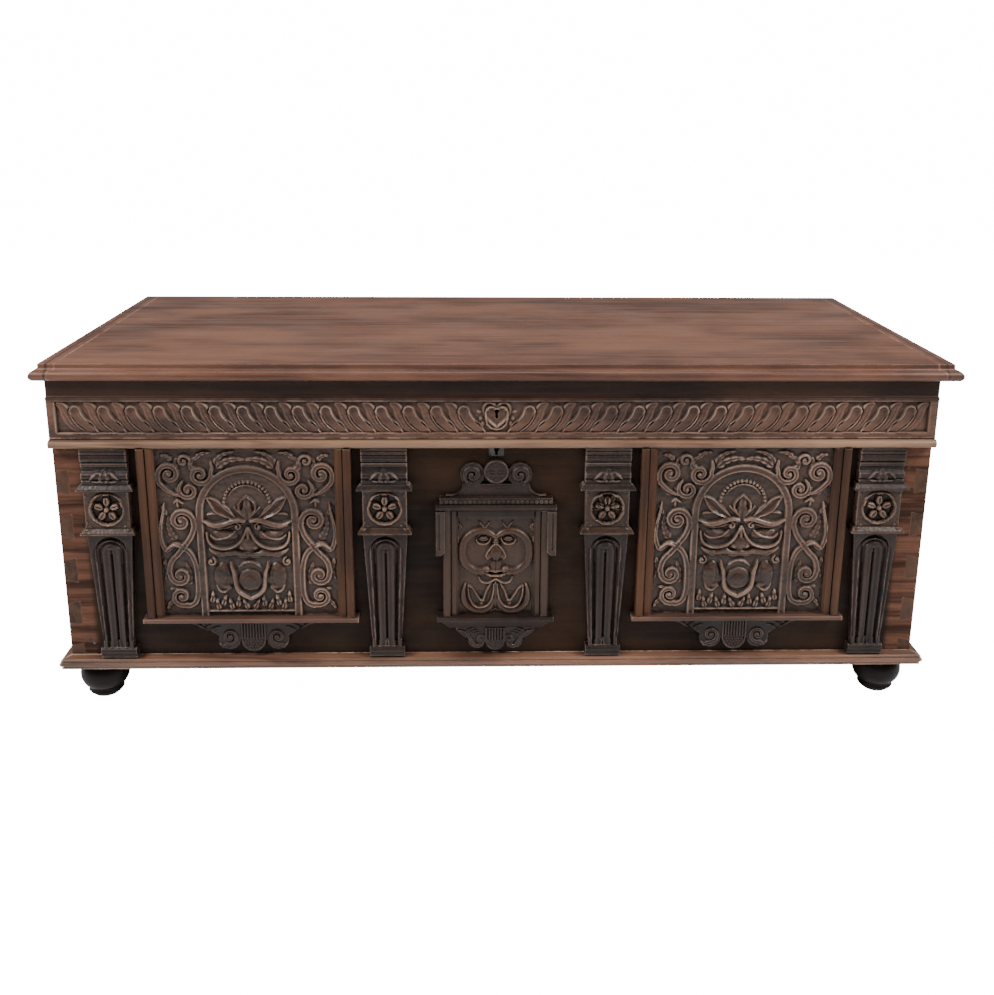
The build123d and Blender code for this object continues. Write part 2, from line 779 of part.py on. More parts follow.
def tapered_shaft():
    """A shaft with a sunk, arch-headed field, and a raised tongue in it with a centre groove."""
    face = make_face(Polyline(
        (-shaft_bottom_width / 2, base_top),
        (shaft_bottom_width / 2, base_top),
        (shaft_top_width / 2, shaft_top),
        (-shaft_top_width / 2, shaft_top),
        close=True,
    ))
    shaft = raised(face, 0, shaft_projection)
    field_top = shaft_top - shaft_border
    field_width = shaft_top_width - 4 * shaft_border
    field_foot = shaft_bottom_width - 2 * shaft_border
    floor = shaft_projection - shaft_sunk_depth
    shaft -= raised(arch_headed(field_width, field_foot, base_top + 1, field_top), floor, shaft_sunk_depth)
    tongue_top = field_top - shaft_band
    tongue_width = field_width - 2 * shaft_band
    tongue_foot = field_foot - 2 * shaft_band
    shaft += raised(arch_headed(tongue_width, tongue_foot, base_top + 1, tongue_top), floor, tongue_rise)
    groove_top = tongue_top - tongue_width / 2
    groove = Pos(0, (base_top + groove_top) / 2) * Rectangle(tongue_groove, groove_top - base_top)
    return shaft - raised(groove, floor, tongue_rise)


def base_section():
    """A torus over a stepped block that stands on the plinth."""
    block_face = base_projection - base_recess
    torus_low = base_top - base_torus
    torus_middle = (base_projection, torus_low + base_torus / 2)
    return closed_face(
        Line((0, plinth_top), (block_face, plinth_top)),
        Line((block_face, plinth_top), (block_face, torus_low)),
        arc((block_face, torus_low), torus_middle, (block_face, base_top)),
        Line((block_face, base_top), (0, base_top)),
        Line((0, base_top), (0, plinth_top)),
    )


pilaster_pieces = {
    "capital": (run(capital_section(), -capital_width / 2, capital_width / 2)
                + ledge(ledge_width, capital_level - ledge_height)),
    "block": rosette_block(),
    "shaft": tapered_shaft(),
    "base": run(base_section(), -base_width / 2, base_width / 2),
}
pilaster_xs = (-outer_pilaster_x, -inner_pilaster_x, inner_pilaster_x, outer_pilaster_x)
for number, x in enumerate(pilaster_xs, start=1):
    for piece, solid in pilaster_pieces.items():
        keep(f"pilaster_{number}_{piece}", Pos(x, 0, 0) * solid)


# ---- arch panels, each between two moulded stiles, on a sill, with an apron below ----
def stile(x, inward, width, projection, z0, z1):
    """A moulded upright: raised outer half, quirk, lower inner half. 'inward' is +1 or -1."""
    inner_half = projection - stile_quirk
    points = [
        (0, 0),
        (0, projection - stile_bevel),
        (stile_bevel, projection),
        (stile_bead - stile_bevel, projection),
        (stile_bead, projection - stile_bevel),
        (stile_bead, inner_half - stile_bevel),
        (stile_bead + stile_bevel, inner_half),
        (width - stile_quirk, inner_half),
        (width, inner_half - stile_quirk),
        (width, 0),
    ]
    face = make_face(Polyline(*[(x + inward * u, out) for u, out in points], close=True))
    return upright(face, z0, z1)


def sill(half_length, z_top):
    """A thin shelf with a rounded edge."""
    z_low = z_top - sill_thickness
    edge_foot = (sill_projection - sill_round, z_low)
    edge_top = (sill_projection - sill_round, z_top - sill_fall)
    section = closed_face(
        Line((0, z_low), edge_foot),
        arc(edge_foot, (sill_projection, (z_low + z_top) / 2), edge_top),
        Line(edge_top, (0, z_top)),
        Line((0, z_top), (0, z_low)),
    )
    return run(section, -half_length, half_length)


def apron(half_length, scroll_x, scroll_radius, tongue_half_width, z_top):
    """A drop ornament: a fluted tongue between two volutes, with tails along the sill."""
    z_low = plinth_top + apron_foot_gap
    scroll_z = z_low + tongue_half_width / 2 + scroll_radius * apron_scroll_lift
    tail_z = z_top - apron_tail_height
    half_face = closed_face(
        Line((0, z_top), (half_length, z_top)),
        Line((half_length, z_top), (half_length, tail_z)),
        arc((half_length, tail_z), ((half_length + scroll_x + scroll_radius) / 2, tail_z - apron_tail_hollow),
            (scroll_x + scroll_radius / 2, scroll_z)),
        Line((scroll_x + scroll_radius / 2, scroll_z), (0, scroll_z)),
        Line((0, scroll_z), (0, z_top)),
    )
    tongue_round = z_low + tongue_half_width
    tongue = Pos(0, (tongue_round + z_top) / 2) * Rectangle(2 * tongue_half_width, z_top - tongue_round)
    tongue += Pos(0, tongue_round) * oval(tongue_half_width, tongue_half_width)
    volute = Pos(scroll_x, scroll_z) * oval(scroll_radius, scroll_radius)
    face = half_face + mirror(half_face, Plane.YZ) + volute + mirror(volute, Plane.YZ)
    tail_out = apron_thickness - apron_relief
    drop = raised(face, 0, tail_out)
    drop += raised(tongue, 0, apron_thickness)
    for volute_part in scroll(scroll_x, scroll_z, scroll_radius, tail_out, apron_relief):
        drop += both_sides(volute_part)
    flute_length = z_top - z_low - 4 * flute_depth
    for flute_x in (-tongue_half_width / 2, 0, tongue_half_width / 2):
        flute = Pos(flute_x, (z_low + z_top) / 2 + flute_depth) * oval(2 * flute_depth, flute_length / 2)
        drop -= raised(flute, apron_thickness - flute_depth, flute_depth)
    return drop


def carved_arch_panel():
    """A round arch over a foliate mask, scrollwork in its spandrels and down both borders."""
    inner = panel_half_width - stile_width
    face_out = panel_thickness
    panel = board(-inner, inner, front - panel_thickness, front, sill_top, bead_level)
    crown = bead_level - arch_crown_drop
    arch_inner = arch_outer_radius - arch_band_width
    band = arch_headed(2 * arch_outer_radius, 2 * arch_outer_radius, sill_top, crown)
    band -= arch_headed(2 * arch_inner, 2 * arch_inner, sill_top, crown - arch_band_width)
    relief = [raised(band, face_out, arch_rise)]

    border_x = (inner + arch_outer_radius) / 2
    for inset, drop, radius in spandrel_volutes:
        relief += scroll(inner - inset, bead_level - drop, radius, face_out, relief_rise)
    for i in range(2):
        loop_z = sill_top + scroll_tube + loop_height / 2 + i * (loop_height - scroll_tube)
        loop = ring(loop_half_width, loop_height / 2, scroll_tube)
        relief.append(raised(Pos(border_x, loop_z) * loop, face_out, relief_rise))
    for level in border_volute_levels:
        relief += scroll(border_x, sill_top + level, border_volute_radius, face_out, relief_rise - 1)

    brow = bead_level - brow_drop
    relief.append(leaf(brow_root, brow, brow_length, brow_width, brow_turn, face_out, relief_rise + 2))
    relief.append(leaf(brow_root, brow + brow_width / 2, brow_length, brow_width, side_leaf_turn,
                       face_out, relief_rise - 2))
    eye_z = brow - eye_drop
    socket = ring(eye_half_width + scroll_tube, eye_half_height + 2 * scroll_tube, scroll_tube)
    socket -= Pos(0, eye_half_height + 2 * scroll_tube) * Rectangle(4 * eye_half_width, 4 * scroll_tube)
    relief.append(raised(Pos(eye_spacing, eye_z) * socket, face_out, relief_rise))
    relief.append(dome(eye_spacing, eye_z, eyeball_half_width, eyeball_half_height, face_out, relief_rise))
    moustache_z = eye_z - moustache_drop
    relief.append(leaf(-moustache_root, moustache_z, moustache_half_width, moustache_width, moustache_turn,
                       face_out, relief_rise - 1))
    relief.append(dome(cheek_x, moustache_z - cheek_drop, cheek_half_width, cheek_half_height,
                       face_out, relief_rise))
    for x in crinkle_xs:
        relief.append(dome(x, sill_top + crinkle_level, crinkle_half_width, crinkle_half_height,
                           face_out, relief_rise))
    field = board(-inner, inner, front - 3 * panel_thickness, front, sill_top, bead_level)
    for shape in relief:
        panel += both_sides(shape & field)

    nose_low = eye_z - nose_length / 2
    nose = make_face(Polyline(
        (-nose_half_width, nose_low),
        (nose_half_width, nose_low),
        (0, nose_low + nose_length),
        close=True,
    ))
    panel += raised(nose, face_out, relief_rise + 2)
    shield_top = moustache_z - shield_drop
    shield_foot = (0, shield_top - shield_height)
    shield_bow = (shield_half_width * shield_fullness, shield_top - shield_height / 2)
    shield = closed_face(
        Line((-shield_half_width, shield_top), (shield_half_width, shield_top)),
        arc((shield_half_width, shield_top), shield_bow, shield_foot),
        arc(shield_foot, (-shield_bow[0], shield_bow[1]), (-shield_half_width, shield_top)),
    )
    panel += raised(shield - offset(shield, -scroll_tube, kind=Kind.INTERSECTION), face_out, relief_rise + 1)
    panel += dome(0, shield_top - shield_height / 2, shield_boss_half_width, shield_boss_half_height,
                  face_out, relief_rise)
    panel += leaf(0, brow + crown_leaf_gap, crown_leaf_length, crown_leaf_width, 90,
                  face_out, relief_rise - 2)
    pearl_centre = bead_level - pearl_ring_drop
    pearl_step = pearl_ring_turn / (pearl_count - 1)
    for i in range(pearl_count):
        turn = 90 - pearl_ring_turn / 2 + i * pearl_step
        pearl = Pos(0, pearl_centre) * Rot(0, 0, turn) * Pos(pearl_ring_radius, 0)
        panel += raised(pearl * oval(pearl_radius, pearl_radius, small_oval_sides), face_out, relief_rise - 2)
    return panel


arch_panel = carved_arch_panel()
panel_sill = sill(panel_half_width + sill_overlap, sill_top)
panel_apron = apron(apron_half_width, apron_scroll_x, apron_scroll_radius, apron_tongue_half_width,
                    sill_top - sill_thickness)
for place, x in (("left", -panel_x), ("right", panel_x)):
    keep(f"carved_panel_{place}", Pos(x, 0, 0) * arch_panel)
    keep(f"panel_{place}_sill", Pos(x, 0, 0) * panel_sill)
    keep(f"panel_{place}_apron", Pos(x, 0, 0) * panel_apron)
    for end, inward in (("a", 1), ("b", -1)):
        outer_x = x - inward * panel_half_width
        upright_stile = stile(outer_x, inward, stile_width, stile_projection, sill_top, bead_level)
        keep(f"panel_{place}_stile_{end}", upright_stile)


# ---- centre aedicule ----
aedicule_panel_top = bead_level - aedicule_crown_height
head_top = aedicule_panel_top + aedicule_head_height
cornice_top = head_top + cornice_height
strip_top = cornice_top + bead_strip_height


def eared_stile():
    """The right stile with its ear: the ear's foot returns at 45 degrees."""
    stile_piece = stile(aedicule_stile_outer, -1, aedicule_stile_outer - aedicule_stile_inner,
                        aedicule_stile_projection, sill_top, head_top)
    ear_foot = head_top - ear_height
    ear_width = aedicule_half_width - aedicule_stile_outer
    ear = make_face(Polyline(
        (aedicule_stile_outer - ear_return, ear_foot + 2 * ear_return),
        (aedicule_stile_outer + ear_return, ear_foot),
        (aedicule_half_width, ear_foot),
        (aedicule_half_width, head_top),
        (aedicule_stile_outer - ear_return, head_top),
        close=True,
    ))
    ear_solid = raised(ear, 0, ear_projection)
    sunk_strip = Rectangle(ear_width * ear_strip_share, ear_height - 4 * ear_return)
    sunk_strip = Pos(aedicule_half_width - ear_width / 2, head_top - ear_height / 2 + ear_return) * sunk_strip
    return stile_piece + ear_solid - raised(sunk_strip, ear_projection - ear_strip_depth, ear_strip_depth)


def cornice():
    """Bevelled cornice over the frame's head, with a row of beads on top."""
    head = board(-aedicule_stile_inner, aedicule_stile_inner, front - aedicule_stile_projection + stile_quirk,
                 front, aedicule_panel_top, head_top)
    edge_low = head_top + cornice_edge_low
    edge_high = head_top + cornice_edge_high
    section = closed_face(
        Line((0, head_top), (cornice_projection - cornice_bevel, head_top)),
        Line((cornice_projection - cornice_bevel, head_top), (cornice_projection, edge_low)),
        Line((cornice_projection, edge_low), (cornice_projection, edge_high)),
        Line((cornice_projection, edge_high), (bead_strip_projection, cornice_top)),
        Line((bead_strip_projection, cornice_top), (0, cornice_top)),
        Line((0, cornice_top), (0, head_top)),
    )
    top = run(section, -aedicule_half_width, aedicule_half_width)
    strip_face = front - bead_strip_projection + strip_bead_radius
    strip = board(-bead_strip_half_width, bead_strip_half_width, strip_face, front, cornice_top, strip_top)
    strip_pitch = 2 * (bead_strip_half_width - strip_bead_radius) / (strip_bead_count - 1)
    for i in range(strip_bead_count):
        x = -bead_strip_half_width + strip_bead_radius + i * strip_pitch
        bead = oval(strip_bead_radius, strip_bead_radius, strip_bead_sides)
        strip += raised(Pos(x, (cornice_top + strip_top) / 2) * bead,
                        bead_strip_projection - strip_bead_radius, strip_bead_rise)
    return head + top + strip


def pediment():
    """A shaped board: two C-scrolls that hold a round medallion, with flared tails."""
    z = strip_top
    lip = z + pediment_lip
    shoulder = z + pediment_height * pediment_shoulder
    bow = (pediment_neck + pediment_tail_bow, z + pediment_tail_bow)
    body = closed_face(
        Line((-pediment_half_width, z), (pediment_half_width, z)),
        Line((pediment_half_width, z), (pediment_half_width, lip)),
        arc((pediment_half_width, lip), bow, (pediment_neck, shoulder)),
        Line((pediment_neck, shoulder), (-pediment_neck, shoulder)),
        arc((-pediment_neck, shoulder), (-bow[0], bow[1]), (-pediment_half_width, lip)),
        Line((-pediment_half_width, lip), (-pediment_half_width, z)),
    )
    scroll_z = z + pediment_scroll_height
    medallion_z = z + pediment_height
    disc = Pos(0, medallion_z) * oval(medallion_radius, medallion_radius, rosette_sides)
    volute = Pos(pediment_scroll_x, scroll_z) * oval(pediment_scroll_radius, pediment_scroll_radius)
    shape = raised(body + disc + volute + mirror(volute, Plane.YZ), 0, pediment_thickness)
    for part in scroll(pediment_scroll_x, scroll_z, pediment_scroll_radius, pediment_thickness, apron_relief):
        shape += both_sides(part)
    rim_ring = ring(medallion_radius, medallion_radius, rosette_ring, rosette_sides)
    shape += raised(Pos(0, medallion_z) * rim_ring, pediment_thickness, medallion_rise)
    shape += dome(0, medallion_z, medallion_boss_radius, medallion_boss_radius, pediment_thickness,
                  medallion_rise + 2)
    return shape


def grotesque_panel():
    """Two ring bands that meet over a bulbous nose, a ribbon, and two leaf lobes below."""
    panel = board(-aedicule_stile_inner, aedicule_stile_inner, front - aedicule_panel_thickness, front,
                  sill_top, aedicule_panel_top)
    out = aedicule_panel_thickness
    ring_z = aedicule_panel_top - ring_drop
    ring_band = ring(ring_outer_radius, ring_outer_radius, ring_tube, rosette_sides)
    ring_band -= Pos(-ring_spread, -ring_outer_radius) * Rectangle(2 * ring_spread, ring_outer_radius)
    panel += both_sides(raised(Pos(ring_spread - 4, ring_z) * ring_band, out, ring_rise))
    for x, height, half_x, half_z, rise in grotesque_domes:
        panel += both_sides(dome(x, ring_z + height, half_x, half_z, out, rise))
    lobe_z = sill_top + lobe_level
    u_lobe = ring(lobe_radius, lobe_radius, lobe_tube)
    u_lobe -= Pos(0, lobe_tube + lobe_radius / 2) * Rectangle(3 * lobe_radius, lobe_radius)
    panel += both_sides(raised(Pos(lobe_x, lobe_z) * u_lobe, out, lobe_rise))
    for x, length, turn in lobe_leaves:
        panel += both_sides(leaf(x, lobe_z - 2, length, lobe_leaf_width, turn, out, lobe_rise - 1))
    for volute_part in scroll(corner_volute_x, aedicule_panel_top - corner_volute_drop, corner_volute_radius,
                              out, lobe_rise - 1):
        panel += both_sides(volute_part)
    return panel


keep("aedicule_panel", grotesque_panel())
right_stile = eared_stile()
keep("aedicule_stile_right", right_stile)
keep("aedicule_stile_left", mirror(right_stile, Plane.YZ))
keep("aedicule_cornice", cornice())
keep("aedicule_pediment", pediment())

aedicule_sill = sill(aedicule_sill_half_width, sill_top)
corbel_top = sill_top - sill_thickness
corbel_low = corbel_top - aedicule_corbel_height
corbel_face = make_face(Polyline(
    (-corbel_low_half_width, corbel_low),
    (corbel_low_half_width, corbel_low),
    (corbel_high_half_width, corbel_top),
    (-corbel_high_half_width, corbel_top),
    close=True,
))
corbel_section = make_face(Polyline(
    (0, corbel_low),
    (corbel_low_projection, corbel_low),
    (corbel_high_projection, corbel_top),
    (0, corbel_top),
    close=True,
))
corbel = raised(corbel_face, 0, corbel_high_projection)
aedicule_sill += corbel & run(corbel_section, -corbel_high_half_width, corbel_high_half_width)
keep("aedicule_sill", aedicule_sill)
keep("aedicule_apron", apron(aedicule_apron_half_width, aedicule_apron_scroll_x, aedicule_apron_scroll_radius,
                             aedicule_tongue_half_width, corbel_low))


# ---- lower keyhole plate ----
plate = RectangleRounded(lower_plate_width, lower_plate_height, lower_plate_corner)
keyhole_plate = raised(Pos(0, lower_key_z - lower_plate_drop) * plate, 0, lower_plate_thickness)
keyhole_plate -= keyhole(lower_key_z, lower_slot_length, front - lower_plate_thickness, front)
keep("lower_keyhole_plate", keyhole_plate)


# ---- lid: two boards between end cleats, one moulded edge round the front and both ends ----
def lid_edge_section():
    """Half-round nose, fillet, cove and a plain upper edge, in (distance in from the nose, Z)."""
    low = lid_underside
    nose_in = nose_radius * (1 - cos(radians(nose_turn)))
    nose_top = low + nose_radius * (1 + sin(radians(nose_turn)))
    cove_in = nose_in + nose_fillet
    edge_in = cove_in + cove_radius
    edge_low = nose_top + cove_radius
    cove_middle = (cove_in + cove_radius * sin(radians(45)), edge_low - cove_radius * sin(radians(45)))
    return closed_face(
        Line((lid_reach, low), (nose_radius, low)),
        ThreePointArc((nose_radius, low), (0, low + nose_radius), (nose_in, nose_top)),
        Line((nose_in, nose_top), (cove_in, nose_top)),
        ThreePointArc((cove_in, nose_top), cove_middle, (edge_in, edge_low)),
        Line((edge_in, edge_low), (edge_in, lid_top - arris_radius)),
        Line((edge_in, lid_top - arris_radius), (edge_in + arris_radius, lid_top)),
        Line((edge_in + arris_radius, lid_top), (lid_reach, lid_top)),
        Line((lid_reach, lid_top), (lid_reach, low)),
    )


lid_front = -lid_depth / 2
lid_rear = lid_depth / 2
lid_end = lid_length / 2
lid_reach = lid_depth / 4       # the edge mouldings are made this deep, then joined to a plain middle
front_edge_plane = Plane(origin=(-lid_end, lid_front, 0), x_dir=(0, 1, 0), z_dir=(1, 0, 0))
front_strip = extrude(front_edge_plane * lid_edge_section(), amount=lid_length)
front_zone = [
    (-lid_end, lid_front),
    (lid_end, lid_front),
    (lid_end - lid_reach, lid_front + lid_reach),
    (lid_reach - lid_end, lid_front + lid_reach),
]
end_edge_plane = Plane(origin=(lid_end, lid_front, 0), x_dir=(-1, 0, 0), z_dir=(0, 1, 0))
end_strip = extrude(end_edge_plane * lid_edge_section(), amount=lid_depth)
end_zone = [
    (lid_end, lid_front),
    (lid_end, lid_rear),
    (lid_end - lid_reach, lid_rear),
    (lid_end - lid_reach, lid_front + lid_reach),
]
lid_blank = front_strip & prism(front_zone, 0, lid_top)
lid_blank += both_sides(end_strip & prism(end_zone, 0, lid_top))
lid_blank += board(-lid_end + lid_reach, lid_end - lid_reach, lid_front + lid_reach, lid_rear,
                   lid_underside, lid_top)

joint_x = lid_end - cleat_width
mitre_y = lid_front + cleat_mitre
mitre_x = joint_x + (mitre_y - lid_front)
cleat_zone = [
    (joint_x, lid_rear),
    (joint_x, mitre_y),
    (mitre_x, lid_front),
    (lid_end, lid_front),
    (lid_end, lid_rear),
]
cleat = lid_blank & prism(cleat_zone, 0, 2 * lid_top)
keep("lid_cleat_right", cleat)
keep("lid_cleat_left", mirror(cleat, Plane.YZ))
lid_joint = lid_front + lid_depth * lid_front_board_share
lid_boards = {
    "front": [(-mitre_x, lid_front), (mitre_x, lid_front), (joint_x, mitre_y), (joint_x, lid_joint),
              (-joint_x, lid_joint), (-joint_x, mitre_y)],
    "rear": [(-joint_x, lid_joint), (joint_x, lid_joint), (joint_x, lid_rear), (-joint_x, lid_rear)],
}
for place, zone in lid_boards.items():
    keep(f"lid_board_{place}", lid_blank & prism(zone, 0, 2 * lid_top))


# ---- hinges: a strap under the lid, a leaf on the back board, a pin through both ----
pin_y = rear + (lid_rear - rear) / 2
pin_z = lid_underside - hinge_barrel_radius - barrel_lid_gap


def barrel(x, length, radius):
    """A round bar along X on the hinge's axis."""
    return Pos(x, pin_y, pin_z) * Rot(0, 90, 0) * Cylinder(radius, length)


def hinge_strap(x):
    eye = barrel(x, strap_eye_width, hinge_barrel_radius)
    eye += board(x - strap_eye_width / 2, x + strap_eye_width / 2, rear, pin_y,
                 lid_underside - hinge_iron - barrel_lid_gap, lid_underside)
    root = rear
    tip = inner_rear - strap_length
    strap = prism([
        (x - hinge_width / 2, root),
        (x + hinge_width / 2, root),
        (x + hinge_width / 2, inner_rear),
        (x + strap_tip_width / 2, tip),
        (x - strap_tip_width / 2, tip),
        (x - hinge_width / 2, inner_rear),
    ], lid_underside - hinge_iron, lid_underside)
    return eye + strap - barrel(x, hinge_width, hinge_pin_radius + pin_clearance)


def hinge_leaf(x):
    leaf_top = pin_z
    leaf_plate = board(x - hinge_width / 2, x + hinge_width / 2, rear, rear + hinge_iron,
                       leaf_top - leaf_height, leaf_top)
    leaf_plate += barrel(x, hinge_width, hinge_barrel_radius)
    eye_gap = strap_eye_width / 2 + knuckle_gap
    leaf_plate -= board(x - eye_gap, x + eye_gap, rear, lid_rear, pin_z - 2 * hinge_barrel_radius,
                        pin_z + 2 * hinge_barrel_radius)
    return leaf_plate - barrel(x, hinge_width, hinge_pin_radius + pin_clearance)


keep_group("hinge_straps", [hinge_strap(x) for x in hinge_xs])
keep_group("hinge_leaves", [hinge_leaf(x) for x in hinge_xs])
keep_group("hinge_pins", [barrel(x, hinge_width, hinge_pin_radius) for x in hinge_xs])


# ---- lock: case on the front board's inner face, sliding bolt, hasp and staple on the lid ----
case_top = rim - lock_top_drop
case_low = case_top - lock_case_height
case_half = lock_case_width / 2
case_rear = inner_front + lock_case_depth
bolt_z = rim - bolt_drop
bolt_y = inner_front + lock_case_depth / 2
bolt_tip = staple_width / 2 + staple_bolt_gap
leg_gap = bolt_thickness / 2 + staple_bolt_gap
leg_outer = leg_gap + staple_iron
staple_low = bolt_z - bolt_height / 2 - staple_bolt_gap - staple_iron

lock_case = board(-case_half, case_half, inner_front, case_rear, case_low, case_top)
lock_case -= board(-case_half + lock_iron, case_half - lock_iron, inner_front + lock_iron,
                   case_rear - lock_iron, case_low + lock_iron, case_top - lock_iron)
guide_gap_y = bolt_thickness / 2 + bolt_clearance
guide_gap_z = bolt_height / 2 + bolt_clearance
guide_places = (bolt_tip + talon_width, bolt_tip + bolt_length - bolt_throw - bolt_guide_width)
for x in guide_places:
    guide = board(x, x + bolt_guide_width, inner_front + lock_iron, case_rear - lock_iron,
                  bolt_z - bolt_height, case_top - lock_iron)
    guide -= board(x, x + bolt_guide_width, bolt_y - guide_gap_y, bolt_y + guide_gap_y,
                   bolt_z - guide_gap_z, bolt_z + guide_gap_z)
    lock_case += guide
slot_half = staple_width / 2 + staple_bolt_gap
slot_reach = leg_outer + staple_swing_gap
lock_case -= board(-slot_half, slot_half, bolt_y - slot_reach, bolt_y + slot_reach,
                   case_top - lock_iron, case_top)
lock_case -= keyhole(key_z, key_slot_length, inner_front, inner_front + lock_iron)
keep("lock_case", lock_case)

lock_bolt = board(bolt_tip, bolt_tip + bolt_length, bolt_y - bolt_thickness / 2, bolt_y + bolt_thickness / 2,
                  bolt_z - bolt_height / 2, bolt_z + bolt_height / 2)
talon_x = guide_places[0] + bolt_guide_width + bolt_throw + staple_bolt_gap
lock_bolt += board(talon_x, talon_x + talon_width, bolt_y - bolt_thickness / 2, bolt_y + bolt_thickness / 2,
                   bolt_z - bolt_height / 2 - talon_length, bolt_z)
keep("lock_bolt", lock_bolt)

hasp_front = inner_front + hasp_setback
hasp = board(-hasp_width / 2, hasp_width / 2, hasp_front, hasp_front + hasp_length,
             lid_underside - hasp_iron, lid_underside)
for y in (bolt_y - leg_outer, bolt_y + leg_gap):
    hasp += board(-staple_width / 2, staple_width / 2, y, y + staple_iron, staple_low, lid_underside)
hasp += board(-staple_width / 2, staple_width / 2, bolt_y - leg_outer, bolt_y + leg_outer,
              staple_low, staple_low + staple_iron)
keep("lid_hasp", hasp)

os.makedirs("parts", exist_ok=True)
for name, shape in nodes.items():
    if not name.startswith(("lid_board", "lid_cleat")):
        shape = Pos(carcass_shift, 0, 0) * shape
    export_step(shape, f"parts/{name}.step")
print(len(nodes), "nodes; hinge axis at", pin_y, pin_z, "; bolt throw", bolt_throw)
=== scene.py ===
import json
from math import cos, hypot, pi, radians, sin
import bpy
import numpy as np
from mathutils import Matrix, Vector
from mathutils.bvhtree import BVHTree


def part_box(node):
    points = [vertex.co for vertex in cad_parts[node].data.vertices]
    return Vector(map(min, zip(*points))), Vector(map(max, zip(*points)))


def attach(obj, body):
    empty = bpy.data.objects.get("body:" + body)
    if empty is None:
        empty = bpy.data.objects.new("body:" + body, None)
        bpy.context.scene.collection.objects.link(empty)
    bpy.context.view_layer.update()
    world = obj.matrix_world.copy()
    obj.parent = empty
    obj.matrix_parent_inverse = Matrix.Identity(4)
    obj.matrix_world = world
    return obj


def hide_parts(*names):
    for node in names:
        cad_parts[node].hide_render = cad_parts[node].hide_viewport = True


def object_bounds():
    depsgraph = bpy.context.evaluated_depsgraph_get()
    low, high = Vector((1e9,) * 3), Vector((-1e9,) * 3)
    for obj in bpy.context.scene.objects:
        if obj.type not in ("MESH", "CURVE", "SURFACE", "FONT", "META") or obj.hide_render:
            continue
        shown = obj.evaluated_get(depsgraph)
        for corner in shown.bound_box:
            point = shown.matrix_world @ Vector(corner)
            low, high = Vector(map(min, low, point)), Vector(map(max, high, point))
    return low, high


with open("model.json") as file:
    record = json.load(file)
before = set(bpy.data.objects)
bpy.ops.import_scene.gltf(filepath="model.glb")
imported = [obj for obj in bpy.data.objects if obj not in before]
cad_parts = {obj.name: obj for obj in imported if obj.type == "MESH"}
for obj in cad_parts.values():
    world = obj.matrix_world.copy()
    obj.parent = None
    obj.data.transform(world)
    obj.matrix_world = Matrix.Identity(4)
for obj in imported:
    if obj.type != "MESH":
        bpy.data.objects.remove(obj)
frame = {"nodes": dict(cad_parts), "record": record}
nodes = frame["nodes"]
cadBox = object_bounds()
mm = 0.001
print("frame loaded,", len(nodes), "nodes")


# shader helpers

def addNode(tree, kind, inputs=None, **settings):
    node = tree.nodes.new(kind)
    for name, value in settings.items():
        setattr(node, name, value)
    for key, value in (inputs or {}).items():
        if isinstance(value, bpy.types.NodeSocket):
            tree.links.new(value, node.inputs[key])
        else:
            node.inputs[key].default_value = value
    return node


def mathNode(tree, operation, a, b=0.0, clamp=False):
    return addNode(tree, "ShaderNodeMath", {0: a, 1: b}, operation=operation, use_clamp=clamp).outputs[0]


def mixColour(tree, factor, a, b):
    a, b = (end if isinstance(end, bpy.types.NodeSocket) else (*end, 1.0) for end in (a, b))
    return addNode(tree, "ShaderNodeMix", {0: factor, 6: a, 7: b}, data_type="RGBA", clamp_factor=True).outputs[2]


def ramp(tree, value, stops):
    # a soft step: the first two stops become the last two
    inputs = dict(enumerate((value, *stops)))
    return addNode(tree, "ShaderNodeMapRange", inputs, interpolation_type="SMOOTHSTEP").outputs[0]


def noiseNode(tree, vector, scale, detail, **more):
    inputs = {"Vector": vector, "Scale": scale, "Detail": detail, **more}
    return addNode(tree, "ShaderNodeTexNoise", inputs).outputs[0]


def newGroup(name, inputs, outputs):
    group = bpy.data.node_groups.new(name, "ShaderNodeTree")
    for socketName, kind, default in inputs:
        socket = group.interface.new_socket(socketName, in_out="INPUT", socket_type=kind)
        if default is not None:
            socket.default_value = default
    for socketName, kind in outputs:
        group.interface.new_socket(socketName, in_out="OUTPUT", socket_type=kind)
    return group, group.nodes.new("NodeGroupInput").outputs, group.nodes.new("NodeGroupOutput").inputs


def newMaterial(name):
    material = bpy.data.materials.new(name)
    material.use_nodes = True
    return material, material.node_tree, material.node_tree.nodes["Principled BSDF"]


# walnut figure: long streaks along X of the vector that comes in, cloudy patches, fine open pores
walnutFigure = {      # stretch, scale, detail, where the noise starts and ends as a mask, other settings
    "streaks": ((0.9, 16, 16), 3.0, 6.0, (0.34, 0.68), {"Roughness": 0.6, "Distortion": 0.7}),
    "clouds": ((1.0, 2.2, 2.2), 3.2, 3.0, (0.35, 0.66), {}),
    "pores": ((9, 210, 210), 3.0, 2.0, (0.58, 0.72), {}),
}
poreDarkness = 0.45


